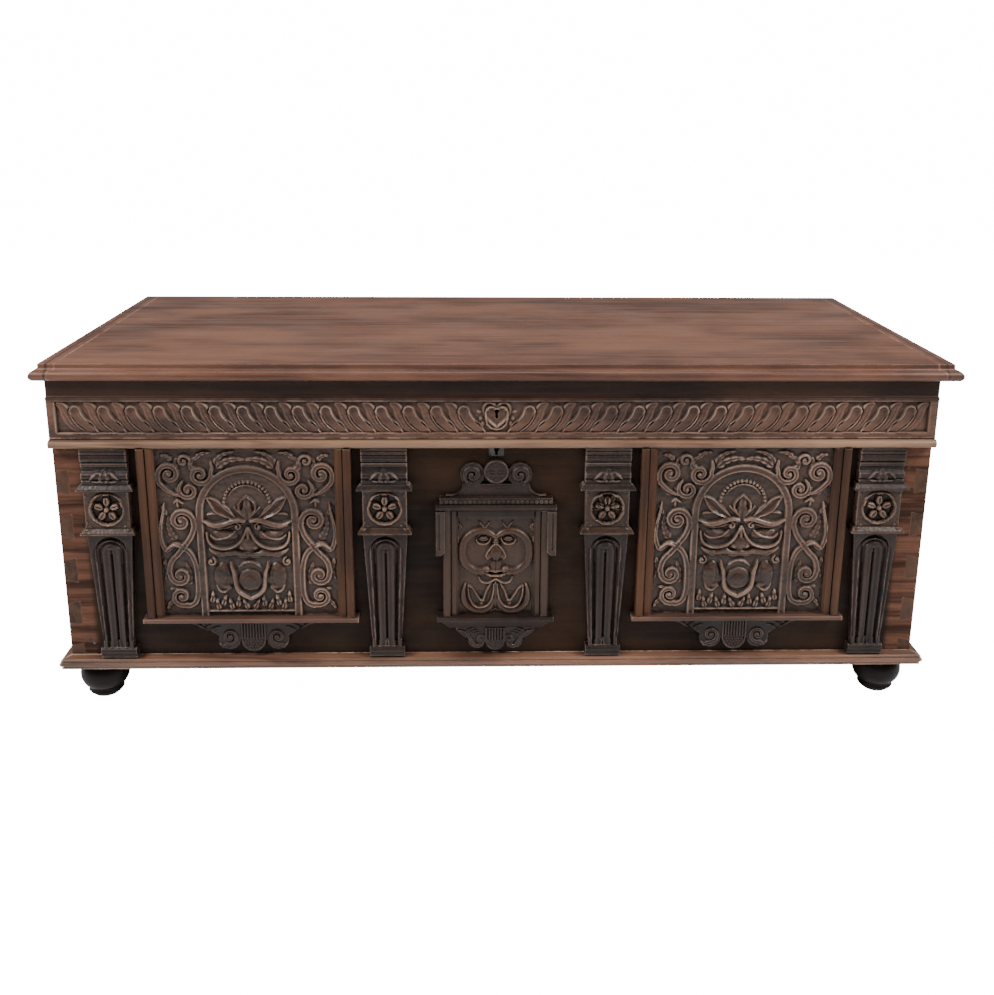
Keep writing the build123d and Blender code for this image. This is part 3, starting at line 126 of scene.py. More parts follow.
def buildFigure():
    group, given, made = newGroup("walnutFigure", [
        ("Vector", "NodeSocketVector", None),
        ("Dark", "NodeSocketColor", (0.02, 0.01, 0.006, 1)),
        ("Middle", "NodeSocketColor", (0.06, 0.03, 0.02, 1)),
        ("Light", "NodeSocketColor", (0.12, 0.06, 0.04, 1)),
        ("Contrast", "NodeSocketFloat", 1.0),
    ], [("Color", "NodeSocketColor"), ("Pores", "NodeSocketFloat"), ("Relief", "NodeSocketFloat")])
    masks = {}
    for layer, (stretch, scale, detail, limits, more) in walnutFigure.items():
        place = addNode(group, "ShaderNodeMapping", {"Vector": given["Vector"], "Scale": stretch})
        masks[layer] = ramp(group, noiseNode(group, place.outputs[0], scale, detail, **more), (*limits, 0.0, 1.0))
    body = mixColour(group, masks["streaks"], given["Dark"], given["Middle"])
    patchy = mathNode(group, "MULTIPLY", masks["clouds"], given["Contrast"], clamp=True)
    body = mixColour(group, patchy, body, given["Light"])
    body = mixColour(group, mathNode(group, "MULTIPLY", masks["pores"], poreDarkness), body, given["Dark"])
    group.links.new(body, made["Color"])
    group.links.new(masks["pores"], made["Pores"])
    group.links.new(masks["streaks"], made["Relief"])
    return group


# worn arrises; carved crests take the worn colour as wear and as a painted highlight; dust, old polish and painted
# shade in corners and carved hollows
wearDirtAndPaintedLight = {
    "arrisReach": 0.004,
    "cornerReach": 0.022,
    "samples": 6,
    "patchScale": 38.0,     # small bright spots
    "wideScale": 5.0,       # where hands have been more often
}


def buildWear():
    group, given, made = newGroup("wearDirtAndPaintedLight", [
        ("Color", "NodeSocketColor", None),
        ("WornAndHighlight", "NodeSocketColor", (0.3, 0.18, 0.12, 1)),
        ("GrimeAndShade", "NodeSocketColor", (0.008, 0.006, 0.005, 1)),
        ("WearAndHighlight", "NodeSocketFloat", 0.6),
        ("DirtAndShade", "NodeSocketFloat", 0.7),
    ], [("Color", "NodeSocketColor"), ("Edge", "NodeSocketFloat"), ("Hollow", "NodeSocketFloat")])

    def multiply(a, b):
        return mathNode(group, "MULTIPLY", a, b)

    def marked(name):
        return addNode(group, "ShaderNodeAttribute", attribute_name=name).outputs["Fac"]

    def occlusion(reach, **settings):
        node = addNode(group, "ShaderNodeAmbientOcclusion", {"Distance": reach}, samples=wearDirtAndPaintedLight["samples"],
                       **settings)
        return node.outputs["AO"]

    spot = addNode(group, "ShaderNodeTexCoord").outputs["Object"]
    patches = ramp(group, noiseNode(group, spot, wearDirtAndPaintedLight["patchScale"], 4.0), (0.36, 0.6, 0.15, 1.0))
    wide = ramp(group, noiseNode(group, spot, wearDirtAndPaintedLight["wideScale"], 2.0), (0.35, 0.62, 0.35, 1.0))
    arris = ramp(group, occlusion(wearDirtAndPaintedLight["arrisReach"], inside=True), (0.35, 0.8, 1.0, 0.0))
    # edge mask: worn arrises, and the carved crests as wear with a painted highlight
    edge = mathNode(group, "MAXIMUM", multiply(multiply(arris, patches), wide), multiply(marked("crest"), wide))
    # painted shade: corners found by occlusion and the carved hollows go towards the grime colour, along with dust and
    # old polish
    corner = ramp(group, occlusion(wearDirtAndPaintedLight["cornerReach"]), (0.35, 0.85, 1.0, 0.0))
    deep = mathNode(group, "MAXIMUM", corner, marked("hollow"))
    dirtiedAndShaded = mixColour(group, multiply(deep, given["DirtAndShade"]), given["Color"], given["GrimeAndShade"])
    # the worn colour goes on the arrises as wear and on the carved crests as a painted highlight
    worn = mixColour(group, multiply(edge, given["WearAndHighlight"]), dirtiedAndShaded, given["WornAndHighlight"])
    group.links.new(worn, made["Color"])
    group.links.new(edge, made["Edge"])
    group.links.new(deep, made["Hollow"])
    return group


figureGroup = buildFigure()
wearDirtAndLightGroup = buildWear()

walnutSurface = {
    "contrast": 0.6,
    "shift": 0.008,             # the carcass stands this far to the left of the lid's middle
    "margin": (0.855, 0.87),    # distance from the carcass's middle at which its paler ends start
    "seam": (0.0009, 0.0045),   # a seam is dark up to the first and gone at the second
    "smudgeScale": 11.0,
    "coatRoughness": 0.3,
    "dirtRoughness": 0.25,      # added in the hollows
    "edgePolish": 0.1,          # taken off at the edges
    "dentScale": 30.0,
    "dents": 1.2,
    "pores": -0.25,
    "streaks": 0.3,
    "bump": 0.25,
    "depth": 0.0012,
}


def walnut(name, dark, middle, light, worn, turn=(0, 0, 0), roughness=(0.34, 0.6), wearAndHighlight=0.6, dirtAndShade=0.7,
           coat=0.05, specular=0.25, margin=None, seams=None):
    surface = walnutSurface
    material, tree, shader = newMaterial(name)
    spot = addNode(tree, "ShaderNodeTexCoord").outputs["Object"]
    turned = addNode(tree, "ShaderNodeMapping", {"Vector": spot, "Rotation": turn})
    figure = addNode(tree, "ShaderNodeGroup", {
        "Vector": turned.outputs[0], "Dark": (*dark, 1), "Middle": (*middle, 1), "Light": (*light, 1),
        "Contrast": surface["contrast"]}, node_tree=figureGroup)
    tone = figure.outputs["Color"]
    if margin:      # the outer ends of the board, paler than the wood between the ornament
        ends = addNode(tree, "ShaderNodeSeparateXYZ", {"Vector": spot})
        outward = mathNode(tree, "ABSOLUTE", mathNode(tree, "ADD", ends.outputs[0], surface["shift"]))
        tone = mixColour(tree, ramp(tree, outward, (*surface["margin"], 0.0, 1.0)), tone,
                         mixColour(tree, figure.outputs["Relief"], margin[0], margin[1]))
    # the wear argument scales worn arrises and the painted highlight on carved crests, both in the worn colour; the
    # dirt argument scales dust and the painted shade in corners and hollows
    edges = addNode(tree, "ShaderNodeGroup", {"Color": tone, "WornAndHighlight": (*worn, 1), "WearAndHighlight": wearAndHighlight, "DirtAndShade": dirtAndShade},
                    node_tree=wearDirtAndLightGroup)
    final = edges.outputs["Color"]
    if seams:       # dark joints between the boards and against the cleats
        spots = addNode(tree, "ShaderNodeSeparateXYZ", {"Vector": spot})
        across = mathNode(tree, "ABSOLUTE", spots.outputs[0])
        cleat = mathNode(tree, "ABSOLUTE", mathNode(tree, "SUBTRACT", across, seams[0]))
        board = mathNode(tree, "ABSOLUTE", mathNode(tree, "SUBTRACT", spots.outputs[1], seams[1]))
        board = mathNode(tree, "ADD", board, mathNode(tree, "GREATER_THAN", across, seams[0]))
        joint = ramp(tree, mathNode(tree, "MINIMUM", cleat, board), (*surface["seam"], 1.0, 0.0))
        final = mixColour(tree, joint, final, dark)
    tree.links.new(final, shader.inputs["Base Color"])
    sheen = ramp(tree, noiseNode(tree, spot, surface["smudgeScale"], 3.0), (0.3, 0.7, *roughness))
    dull = mathNode(tree, "MULTIPLY", edges.outputs["Hollow"], surface["dirtRoughness"])
    polished = mathNode(tree, "MULTIPLY", edges.outputs["Edge"], surface["edgePolish"])
    rough = mathNode(tree, "ADD", sheen, dull, clamp=True)
    tree.links.new(mathNode(tree, "SUBTRACT", rough, polished, clamp=True), shader.inputs["Roughness"])
    for key, value in (("Coat Weight", coat), ("Coat Roughness", surface["coatRoughness"]),
                       ("Specular IOR Level", specular)):
        shader.inputs[key].default_value = value
    dents = mathNode(tree, "MULTIPLY", noiseNode(tree, spot, surface["dentScale"], 3.0), surface["dents"])
    pores = mathNode(tree, "MULTIPLY", figure.outputs["Pores"], surface["pores"])
    streaks = mathNode(tree, "MULTIPLY", figure.outputs["Relief"], surface["streaks"])
    height = mathNode(tree, "ADD", mathNode(tree, "ADD", dents, pores), streaks)
    lumps = addNode(tree, "ShaderNodeBump", {"Height": height, "Strength": surface["bump"],
                                             "Distance": surface["depth"]})
    tree.links.new(lumps.outputs[0], shader.inputs["Normal"])
    return material


quarter = pi / 2
lidWalnut = walnut("lidWalnut", (0.03, 0.011, 0.006), (0.082, 0.031, 0.0165), (0.14, 0.06, 0.034),
                   (0.4, 0.23, 0.16), roughness=(0.3, 0.48), wearAndHighlight=0.95, dirtAndShade=0.3,
                   seams=(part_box("lid_board_front")[1].x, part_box("lid_board_front")[1].y))
carcassWalnut = walnut("carcassWalnut", (0.006, 0.0028, 0.0017), (0.013, 0.006, 0.0036), (0.024, 0.0115, 0.006),
                       (0.14, 0.075, 0.048), wearAndHighlight=0.5, coat=0.0, specular=0.1)
boardWalnut = walnut("boardWalnut", (0.006, 0.0028, 0.0017), (0.014, 0.0062, 0.0034), (0.03, 0.0135, 0.006),
                     (0.1, 0.052, 0.032), wearAndHighlight=0.3, coat=0.0, specular=0.08,
                     margin=((0.022, 0.0085, 0.0045), (0.105, 0.045, 0.027)))
# the plinth's light colour is raised to give a painted highlight on its nose
plinthWalnut = walnut("plinthWalnut", (0.034, 0.015, 0.0085), (0.11, 0.05, 0.03), (0.2, 0.1, 0.06),
                      (0.55, 0.38, 0.28), roughness=(0.28, 0.45), wearAndHighlight=1.0, coat=0.15)
beadWalnut = walnut("beadWalnut", (0.06, 0.028, 0.016), (0.16, 0.085, 0.048), (0.24, 0.14, 0.085),
                    (0.46, 0.32, 0.24), wearAndHighlight=0.8)
friezeWalnut = walnut("friezeWalnut", (0.022, 0.0095, 0.006), (0.06, 0.027, 0.018), (0.11, 0.052, 0.032),
                      (0.34, 0.22, 0.16), wearAndHighlight=0.85, dirtAndShade=0.8)
carvedWalnut = walnut("carvedWalnut", (0.012, 0.0052, 0.003), (0.033, 0.0145, 0.0088), (0.058, 0.027, 0.016),
                      (0.3, 0.19, 0.14), wearAndHighlight=0.85, dirtAndShade=0.85, roughness=(0.3, 0.5))
warmWalnut = walnut("warmWalnut", (0.009, 0.0038, 0.0021), (0.025, 0.011, 0.0062), (0.044, 0.02, 0.0105),
                    (0.24, 0.15, 0.11), turn=(0, quarter, 0), wearAndHighlight=0.8, dirtAndShade=0.85, roughness=(0.3, 0.5),
                    specular=0.22)
stileWalnut = walnut("stileWalnut", (0.016, 0.006, 0.003), (0.044, 0.0175, 0.0085), (0.072, 0.031, 0.0145),
                     (0.26, 0.15, 0.1), turn=(0, quarter, 0), wearAndHighlight=0.7, dirtAndShade=0.7, specular=0.12)
railWalnut = walnut("railWalnut", (0.01, 0.0044, 0.0028), (0.024, 0.0105, 0.0066), (0.04, 0.0185, 0.011),
                    (0.2, 0.12, 0.085), wearAndHighlight=0.6, coat=0.0, specular=0.15)
uprightWalnut = walnut("uprightWalnut", (0.005, 0.0022, 0.0015), (0.0125, 0.0058, 0.004), (0.024, 0.0112, 0.0078),
                       (0.18, 0.12, 0.095), turn=(0, quarter, 0), wearAndHighlight=0.7, dirtAndShade=0.85, specular=0.2)
endWalnut = walnut("endWalnut", (0.022, 0.01, 0.006), (0.05, 0.023, 0.014), (0.075, 0.036, 0.021),
                   (0.2, 0.11, 0.075), turn=(0, 0, quarter), wearAndHighlight=0.5, roughness=(0.52, 0.58), coat=0.0,
                   specular=0.15)
backWalnut = walnut("backWalnut", (0.018, 0.008, 0.005), (0.042, 0.019, 0.012), (0.065, 0.031, 0.018),
                    (0.15, 0.085, 0.06), wearAndHighlight=0.4, roughness=(0.55, 0.65), coat=0.0, specular=0.12)
footWood = walnut("footWood", (0.003, 0.0018, 0.0013), (0.006, 0.0036, 0.0028), (0.01, 0.006, 0.0045),
                  (0.06, 0.038, 0.03), wearAndHighlight=0.5, specular=0.08)


ironFinish = {
    "bare": (0.014, 0.012, 0.011),
    "rust": (0.05, 0.022, 0.012),
    "worn": (0.13, 0.12, 0.115),
    "rustScale": 60.0,
    "metallic": 0.6,
    "hammerScale": 120.0,
    "hammerStrength": 0.3,
    "hammerDepth": 0.0008,
}


def forgedIron():
    material, tree, shader = newMaterial("forgedIron")
    spot = addNode(tree, "ShaderNodeTexCoord").outputs["Object"]
    rust = noiseNode(tree, spot, ironFinish["rustScale"], 6.0)
    colour = mixColour(tree, ramp(tree, rust, (0.5, 0.68, 0.0, 1.0)), ironFinish["bare"], ironFinish["rust"])
    # the wear group gives worn edges and painted shade in the corners
    edges = addNode(tree, "ShaderNodeGroup", {"Color": colour, "WornAndHighlight": (*ironFinish["worn"], 1)},
                    node_tree=wearDirtAndLightGroup)
    tree.links.new(edges.outputs["Color"], shader.inputs["Base Color"])
    shader.inputs["Metallic"].default_value = ironFinish["metallic"]
    tree.links.new(ramp(tree, rust, (0.4, 0.7, 0.42, 0.8)), shader.inputs["Roughness"])
    hammered = addNode(tree, "ShaderNodeTexVoronoi", {"Vector": spot, "Scale": ironFinish["hammerScale"]})
    lumps = addNode(tree, "ShaderNodeBump", {"Height": hammered.outputs[0], "Strength": ironFinish["hammerStrength"],
                                             "Distance": ironFinish["hammerDepth"]})
    tree.links.new(lumps.outputs[0], shader.inputs["Normal"])
    return material


iron = forgedIron()
slotFinish = {
    "lid_walnut": lidWalnut,
    "carcass_walnut": carcassWalnut,
    "plinth_walnut": plinthWalnut,
    "bead_walnut": beadWalnut,
    "carved_walnut": uprightWalnut,
    "foot_wood": footWood,
    "iron": iron,
}
ownFinish = {"front_board": boardWalnut, "back_board": backWalnut, "upper_rail": railWalnut}     # unlike their slot's
for side in ("left", "right"):
    ownFinish["side_board_" + side] = endWalnut
    ownFinish["aedicule_stile_" + side] = warmWalnut
    ownFinish["panel_%s_sill" % side] = friezeWalnut
    for edge in ("a", "b"):
        ownFinish["panel_%s_stile_%s" % (side, edge)] = stileWalnut


def paintNodes():
    slotOf = {part["node"]: part["material_slot"] for part in frame["record"]["subparts"]}
    for name, body in nodes.items():
        body.data.materials.clear()
        body.data.materials.append(ownFinish.get(name) or slotFinish[slotOf[name]])


paintNodes()
print("finishes made")


# carving: a fine grid stands for the wood, and every cut moves its points
# heights are millimetres in front of the front board, x and z are millimetres on the piece

class Carving:
    def __init__(self, x0, x1, z0, z1, pitch, ground):
        self.columns = int(round((x1 - x0) / pitch))
        self.rows = int(round((z1 - z0) / pitch))
        self.x = np.linspace(x0, x1, self.columns + 1)
        self.z = np.linspace(z0, z1, self.rows + 1)
        self.gridX, self.gridZ = np.meshgrid(self.x, self.z)
        self.height = np.full(self.gridX.shape, float(ground))

    def window(self, low, high):
        left, right = np.searchsorted(self.x, (low[0], high[0]))
        bottom, top = np.searchsorted(self.z, (low[1], high[1]))
        return slice(bottom, max(top, bottom)), slice(left, max(right, left))


def curve(points, steps=6):
    # a smooth line through given points
    pts = np.array([points[0], *points, points[-1]], float)
    out = []
    for a, b, c, d in zip(pts[:-3], pts[1:-2], pts[2:-1], pts[3:]):
        for i in range(steps):
            t = i / steps
            out.append(0.5 * (2 * b + (c - a) * t + (2 * a - 5 * b + 4 * c - d) * t ** 2
                              + (3 * b - a - 3 * c + d) * t ** 3))
    out.append(pts[-1])
    return np.array(out)


def coil(x, z, radius, start, turns, eye=0.18, steps=14):
    # a spiral from its rim to its eye; start in degrees, turns signed, anticlockwise positive
    count = max(6, int(abs(turns) * steps))
    out = []
    for i in range(count + 1):
        s = i / count
        r = radius * (1 - (1 - eye) * s ** 0.8)
        angle = radians(start + 360 * turns * s)
        out.append((x + r * cos(angle), z + r * sin(angle)))
    return np.array(out)


def joined(*lines):
    return np.vstack([np.asarray(line, float) for line in lines])


def arc(x, z, radius, angles):
    # points on a circle, at angles in degrees
    return [(x + radius * cos(radians(a)), z + radius * sin(radians(a))) for a in angles]


def trace(carving, path, reach):
    # distance to the path, share of its length and side of it, for the points near it
    path = np.asarray(path, float)
    steps = np.hypot(*np.diff(path, axis=0).T)
    along = np.concatenate([[0], np.cumsum(steps)]) / max(steps.sum(), 1e-9)
    gap = np.full(carving.height.shape, 1e6)
    share = np.zeros(carving.height.shape)
    side = np.zeros(carving.height.shape)
    for (ax, az), (bx, bz), ta, tb in zip(path[:-1], path[1:], along[:-1], along[1:]):
        win = carving.window((min(ax, bx) - reach, min(az, bz) - reach), (max(ax, bx) + reach, max(az, bz) + reach))
        px, pz = carving.gridX[win] - ax, carving.gridZ[win] - az
        dx, dz = bx - ax, bz - az
        length = max(dx * dx + dz * dz, 1e-12)
        u = np.clip((px * dx + pz * dz) / length, 0, 1)
        d = np.hypot(px - u * dx, pz - u * dz)
        closer = d < gap[win]
        gap[win] = np.where(closer, d, gap[win])
        share[win] = np.where(closer, ta + u * (tb - ta), share[win])
        side[win] = np.where(closer, np.sign(dx * pz - dz * px), side[win])
    return gap, share, side


def widthAlong(share, width, ends):
    # full in the middle, drawn out to a share of its width at the start and the end
    start, end = ends
    swell = np.clip(share / 0.3, 0, 1)
    fade = np.clip((1 - share) / 0.3, 0, 1)
    return width * (start + (1 - start) * swell ** 0.7) * (end + (1 - end) * fade ** 0.7)


def lay(carving, mask, height):
    carving.height = np.where(mask & (height > carving.height), height, carving.height)


def roll(carving, path, width, base, rise, ends=(1, 1), lean=0.0):
    # a round-backed band; lean moves its crest towards one side
    gap, share, side = trace(carving, path, width + 1)
    half = np.maximum(widthAlong(share, width / 2, ends), 0.3)
    across = np.clip((gap * side / half + lean) / (1 + abs(lean) * side * np.sign(lean + 1e-9)), -1, 1)
    lay(carving, gap < half, base + rise * np.sqrt(1 - across ** 2) ** 0.9)


def strap(carving, path, width, base, rise, ends=(1, 1), rim=0.3, dish=0.45):
    # a band with raised rims and a hollow between them
    gap, share, _ = trace(carving, path, width + 1)
    half = np.maximum(widthAlong(share, width / 2, ends), 0.3)
    u = gap / half
    edge = np.clip((1 - u) / 0.18, 0, 1) ** 0.5
    profile = edge * (1 - dish * np.clip((1 - rim - u) / (1 - rim), 0, 1) ** 0.6)
    lay(carving, u < 1, base + rise * profile)


def cut(carving, path, width, depth, ends=(1, 1)):
    # a V-shaped cut
    gap, share, _ = trace(carving, path, width)
    half = np.maximum(widthAlong(share, width / 2, ends), 0.2)
    carving.height -= np.where(gap < half, depth * (1 - gap / half), 0)


def boss(carving, x, z, halfX, halfZ, base, rise, power=0.5, turn=0.0):
    # a rounded boss; a power over 1 makes it pointed
    reach = 1.5 * max(halfX, halfZ)
    win = carving.window((x - reach, z - reach), (x + reach, z + reach))
    dx, dz = carving.gridX[win] - x, carving.gridZ[win] - z
    c, s = cos(radians(turn)), sin(radians(turn))
    u = ((dx * c + dz * s) / halfX) ** 2 + ((dz * c - dx * s) / halfZ) ** 2
    height = base + rise * np.clip(1 - u, 0, 1) ** power
    part = carving.height[win]
    carving.height[win] = np.where((u < 1) & (height > part), height, part)


def dish(carving, x, z, halfX, halfZ, depth, power=1.0):
    # a scooped hollow
    win = carving.window((x - halfX, z - halfZ), (x + halfX, z + halfZ))
    u = ((carving.gridX[win] - x) / halfX) ** 2 + ((carving.gridZ[win] - z) / halfZ) ** 2
    carving.height[win] -= depth * np.clip(1 - u, 0, 1) ** power


def acanthus(carving, path, width, base, rise, lobes=4, sides=(1, 1), tip=0.12):
    # a leaf with a sunk midrib, lobed edges and a vein up every lobe
    gap, share, side = trace(carving, path, width * 1.2)
    reach = np.where(side >= 0, sides[0], sides[1])
    outline = width / 2 * np.clip(share / 0.16, 0, 1) ** 0.6 * (tip + (1 - tip) * np.clip(1.02 - share, 0, 1) ** 0.55)
    wave = (share * lobes - 0.25 * gap / (width / 2)) % 1.0
    toothed = outline * reach * (0.7 + 0.3 * np.sqrt(np.clip(1 - (2 * wave - 1) ** 2, 0, 1)))
    u = gap / np.maximum(toothed, 0.3)
    crown = np.sqrt(np.clip(1 - u ** 2, 0, 1)) ** 0.8
    rib = 0.3 * np.exp(-(gap / (0.09 * width)) ** 2)
    fold = 0.3 * (0.5 - 0.5 * np.cos(2 * pi * wave)) * np.clip(gap / (0.2 * width), 0, 1)
    lay(carving, (u < 1) & (toothed > 0.3), base + rise * (crown * (0.78 + fold) - rib * crown))


def softened(height, passes):
    for _ in range(passes):
        padded = np.pad(height, 1, mode="edge")
        height = (4 * height + padded[:-2, 1:-1] + padded[2:, 1:-1] + padded[1:-1, :-2] + padded[1:-1, 2:]) / 8
    return height


def between(values, rows, columns):
    # a grid's values read between its points
    r, q = rows.astype(int), columns.astype(int)
    fr, fq = (rows - r)[:, None], (columns - q)[None, :]
    return (values[np.ix_(r, q)] * (1 - fr) * (1 - fq) + values[np.ix_(r + 1, q)] * fr * (1 - fq)
            + values[np.ix_(r, q + 1)] * (1 - fr) * fq + values[np.ix_(r + 1, q + 1)] * fr * fq)


def toolMarks(carving, depth, seed):
    # shallow facets that the gouge left in the ground
    rng = np.random.default_rng(seed)
    rough = rng.random(((carving.rows // 4) + 2, (carving.columns // 4) + 2))
    rows = np.linspace(0, rough.shape[0] - 1.001, carving.rows + 1)
    columns = np.linspace(0, rough.shape[1] - 1.001, carving.columns + 1)
    carving.height += depth * (between(rough, rows, columns) - 0.5)


gougeWork = {
    "marks": 0.5,
    "levelling": 24,            # softening passes that give the level round each point
    "crest": (1.6, 0.25),       # height over that level for full wear and painted highlight, and the share of it that shows none
    "hollow": (1.8, 0.1),       # the same for dirt and painted shade below that level
    "outlineDepth": 4.0,        # where the solid's outline is read
    "smoothAngle": 50,
}
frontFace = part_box("front_board")[0].y     # every height is measured from here towards the viewer


def solidOf(node):
    body = nodes[node].data
    return BVHTree.FromPolygons([v.co for v in body.vertices], [tuple(p.vertices) for p in body.polygons])


def cadHeight(solid, carving, centreX):
    # how far the solid stands out at every point of the grid, and where it stands out at all
    height = np.full(carving.height.shape, np.nan)
    columns = np.clip(carving.x, carving.x[0] + 0.1, carving.x[-1] - 0.1)
    rows = np.clip(carving.z, carving.z[0] + 0.1, carving.z[-1] - 0.1)
    ahead = Vector((0, 1, 0))
    for i, z in enumerate(rows):
        for j, x in enumerate(columns):
            spot = solid.ray_cast(Vector(((x + centreX) * mm, frontFace - 0.2, z * mm)), ahead)[0]
            if spot is not None:
                height[i, j] = (frontFace - spot.y) / mm
    there = ~np.isnan(height)
    for _ in range(3):      # points just outside take their neighbour's height
        for axis, step in ((0, 1), (0, -1), (1, 1), (1, -1)):
            height = np.where(np.isnan(height), np.roll(height, step, axis), height)
    return np.nan_to_num(height), there


def carveOnCad(name, node, pitch, paint, material, seed, ground=None, crestWearAndHighlight=0.6):
    # the strokes are laid on the solid's own front or a flat ground, alike on both sides of its middle
    low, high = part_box(node)
    centreX, halfX = (low.x + high.x) / 2 / mm, (high.x - low.x) / 2 / mm
    whole = Carving(-halfX, halfX, low.z / mm, high.z / mm, pitch, 0)
    solid = solidOf(node)
    base, there = cadHeight(solid, whole, centreX)
    if ground is not None:
        base = np.full(base.shape, float(ground))
    half = Carving(0, halfX, low.z / mm, high.z / mm, pitch, 0)
    paint(half)
    half.height = softened(half.height, 1)
    mostProud = (frontFace - cadBox[0].y) / mm - gougeWork["marks"] / 2     # nothing stands past the chest
    whole.height = np.minimum(base + mirrored(half, whole), mostProud)
    toolMarks(whole, gougeWork["marks"], seed)
    outline = None if there.all() else there
    finishCarving(name, whole, centreX, material, node, crestWearAndHighlight, outline, solid)


def mirrored(half, whole):
    # the carved right half read at the same distance on both sides of the middle
    columns = np.clip(np.abs(whole.x) / (half.x[1] - half.x[0]), 0, half.columns - 1e-6)
    rows = np.clip((whole.z - whole.z[0]) / (half.z[1] - half.z[0]), 0, half.rows - 1e-6)
    return between(half.height, rows, columns)


def pointsOf(mesh):
    points = np.empty(len(mesh.vertices) * 3)
    mesh.vertices.foreach_get("co", points)
    return points.reshape(-1, 3)


def finishCarving(name, carving, centreX, material, node, crestWearAndHighlight, outline=None, solid=None):
    # the grid becomes the front, sides go back to the board, and crests and hollows are marked for the finish: wear and
    # a painted highlight on crests, dirt and painted shade in hollows
    columns, rows = carving.columns, carving.rows
    bpy.ops.object.select_all(action="DESELECT")
    bpy.ops.mesh.primitive_grid_add(x_subdivisions=columns, y_subdivisions=rows, size=1)
    piece = bpy.context.object
    piece.name = name
    mesh = piece.data
    mesh.name = name
    points = pointsOf(mesh)
    column = np.rint((points[:, 0] + 0.5) * columns).astype(int)
    row = np.rint((points[:, 1] + 0.5) * rows).astype(int)
    points[:, 0] = (carving.x[column] + centreX) * mm
    points[:, 1] = frontFace - carving.height[row, column] * mm
    points[:, 2] = carving.z[row] * mm
    mesh.vertices.foreach_set("co", points.ravel())
    lift = carving.height - softened(carving.height, gougeWork["levelling"])
    crestHeight, crestFrom = gougeWork["crest"]
    hollowDepth, hollowFrom = gougeWork["hollow"]
    # painted highlight with wear on the crests, painted shade with dirt in the hollows
    crest = np.clip(lift / crestHeight - crestFrom, 0, 1) * crestWearAndHighlight
    hollow = np.clip(-lift / hollowDepth - hollowFrom, 0, 1)
    for key, values in (("crest", crest), ("hollow", hollow)):
        layer = mesh.attributes.new(key, "FLOAT", "POINT")
        layer.data.foreach_set("value", values[row, column].astype(np.float32))
    bpy.ops.object.mode_set(mode="EDIT")
    bpy.ops.mesh.select_all(action="SELECT")
    if outline is not None:     # the faces beyond the solid's outline go
        bpy.ops.mesh.select_mode(type="FACE")
        bpy.ops.mesh.select_all(action="DESELECT")
        bpy.ops.object.mode_set(mode="OBJECT")
        corner = outline[row, column]
        faceCorners = np.empty(len(mesh.polygons) * 4, int)
        mesh.polygons.foreach_get("vertices", faceCorners)
        outside = ~corner[faceCorners.reshape(-1, 4)].any(axis=1)
        mesh.polygons.foreach_set("select", outside)
        bpy.ops.object.mode_set(mode="EDIT")
        bpy.ops.mesh.delete(type="FACE")
        bpy.ops.mesh.select_all(action="SELECT")
    bpy.ops.mesh.normals_make_consistent(inside=False)
    bpy.ops.mesh.select_mode(type="EDGE")
    bpy.ops.mesh.select_all(action="DESELECT")
    bpy.ops.mesh.select_non_manifold(extend=False, use_wire=False, use_boundary=True, use_multi_face=False,
                                     use_non_contiguous=False, use_verts=False)
    bpy.ops.object.mode_set(mode="OBJECT")
    edge = [vertex.index for vertex in mesh.vertices if vertex.select]
    bpy.ops.object.mode_set(mode="EDIT")
    bpy.ops.mesh.extrude_region_move()
    bpy.ops.object.mode_set(mode="OBJECT")
    rim = np.empty(len(mesh.vertices), bool)
    mesh.vertices.foreach_get("select", rim)
    points = pointsOf(mesh)
    points[rim, 1] = frontFace
    mesh.vertices.foreach_set("co", points.ravel())
    bpy.ops.object.mode_set(mode="EDIT")
    if outline is None:
        bpy.ops.mesh.edge_face_add()
    else:
        bpy.ops.mesh.fill(use_beauty=False)
    bpy.ops.mesh.select_all(action="SELECT")
    bpy.ops.mesh.normals_make_consistent(inside=False)
    bpy.ops.object.mode_set(mode="OBJECT")
    if outline is not None:     # the stepped edge is drawn onto the solid's own outline
        for index in [*edge, *np.flatnonzero(rim)]:
            at = mesh.vertices[index].co
            near = solid.find_nearest(Vector((at.x, frontFace - gougeWork["outlineDepth"] * mm, at.z)))[0]
            mesh.vertices[index].co = (near.x, at.y, near.z)
    bpy.ops.object.shade_smooth_by_angle(angle=radians(gougeWork["smoothAngle"]))
    mesh.materials.append(material)
    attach(piece, "chest")
    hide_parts(node)
    print(name, len(mesh.polygons), "faces")


# arch panels: a foliate mask in a round arch, interlaced scrolls beside it
archPanel = {
    "pitch": 1.35,
    "ground": 9.0,
    "rise": 8.5,
    "archRadius": 108.0,
    "archBand": 17.0,
    "archCentre": 229.0,
    "level": 214.0,      # the panel's own zero of height, for the strokes
    "marks": 1.1,
    # strength of wear and painted highlight on the carved crests
    "wearAndHighlight": 0.6,
    "seed": 3,
}


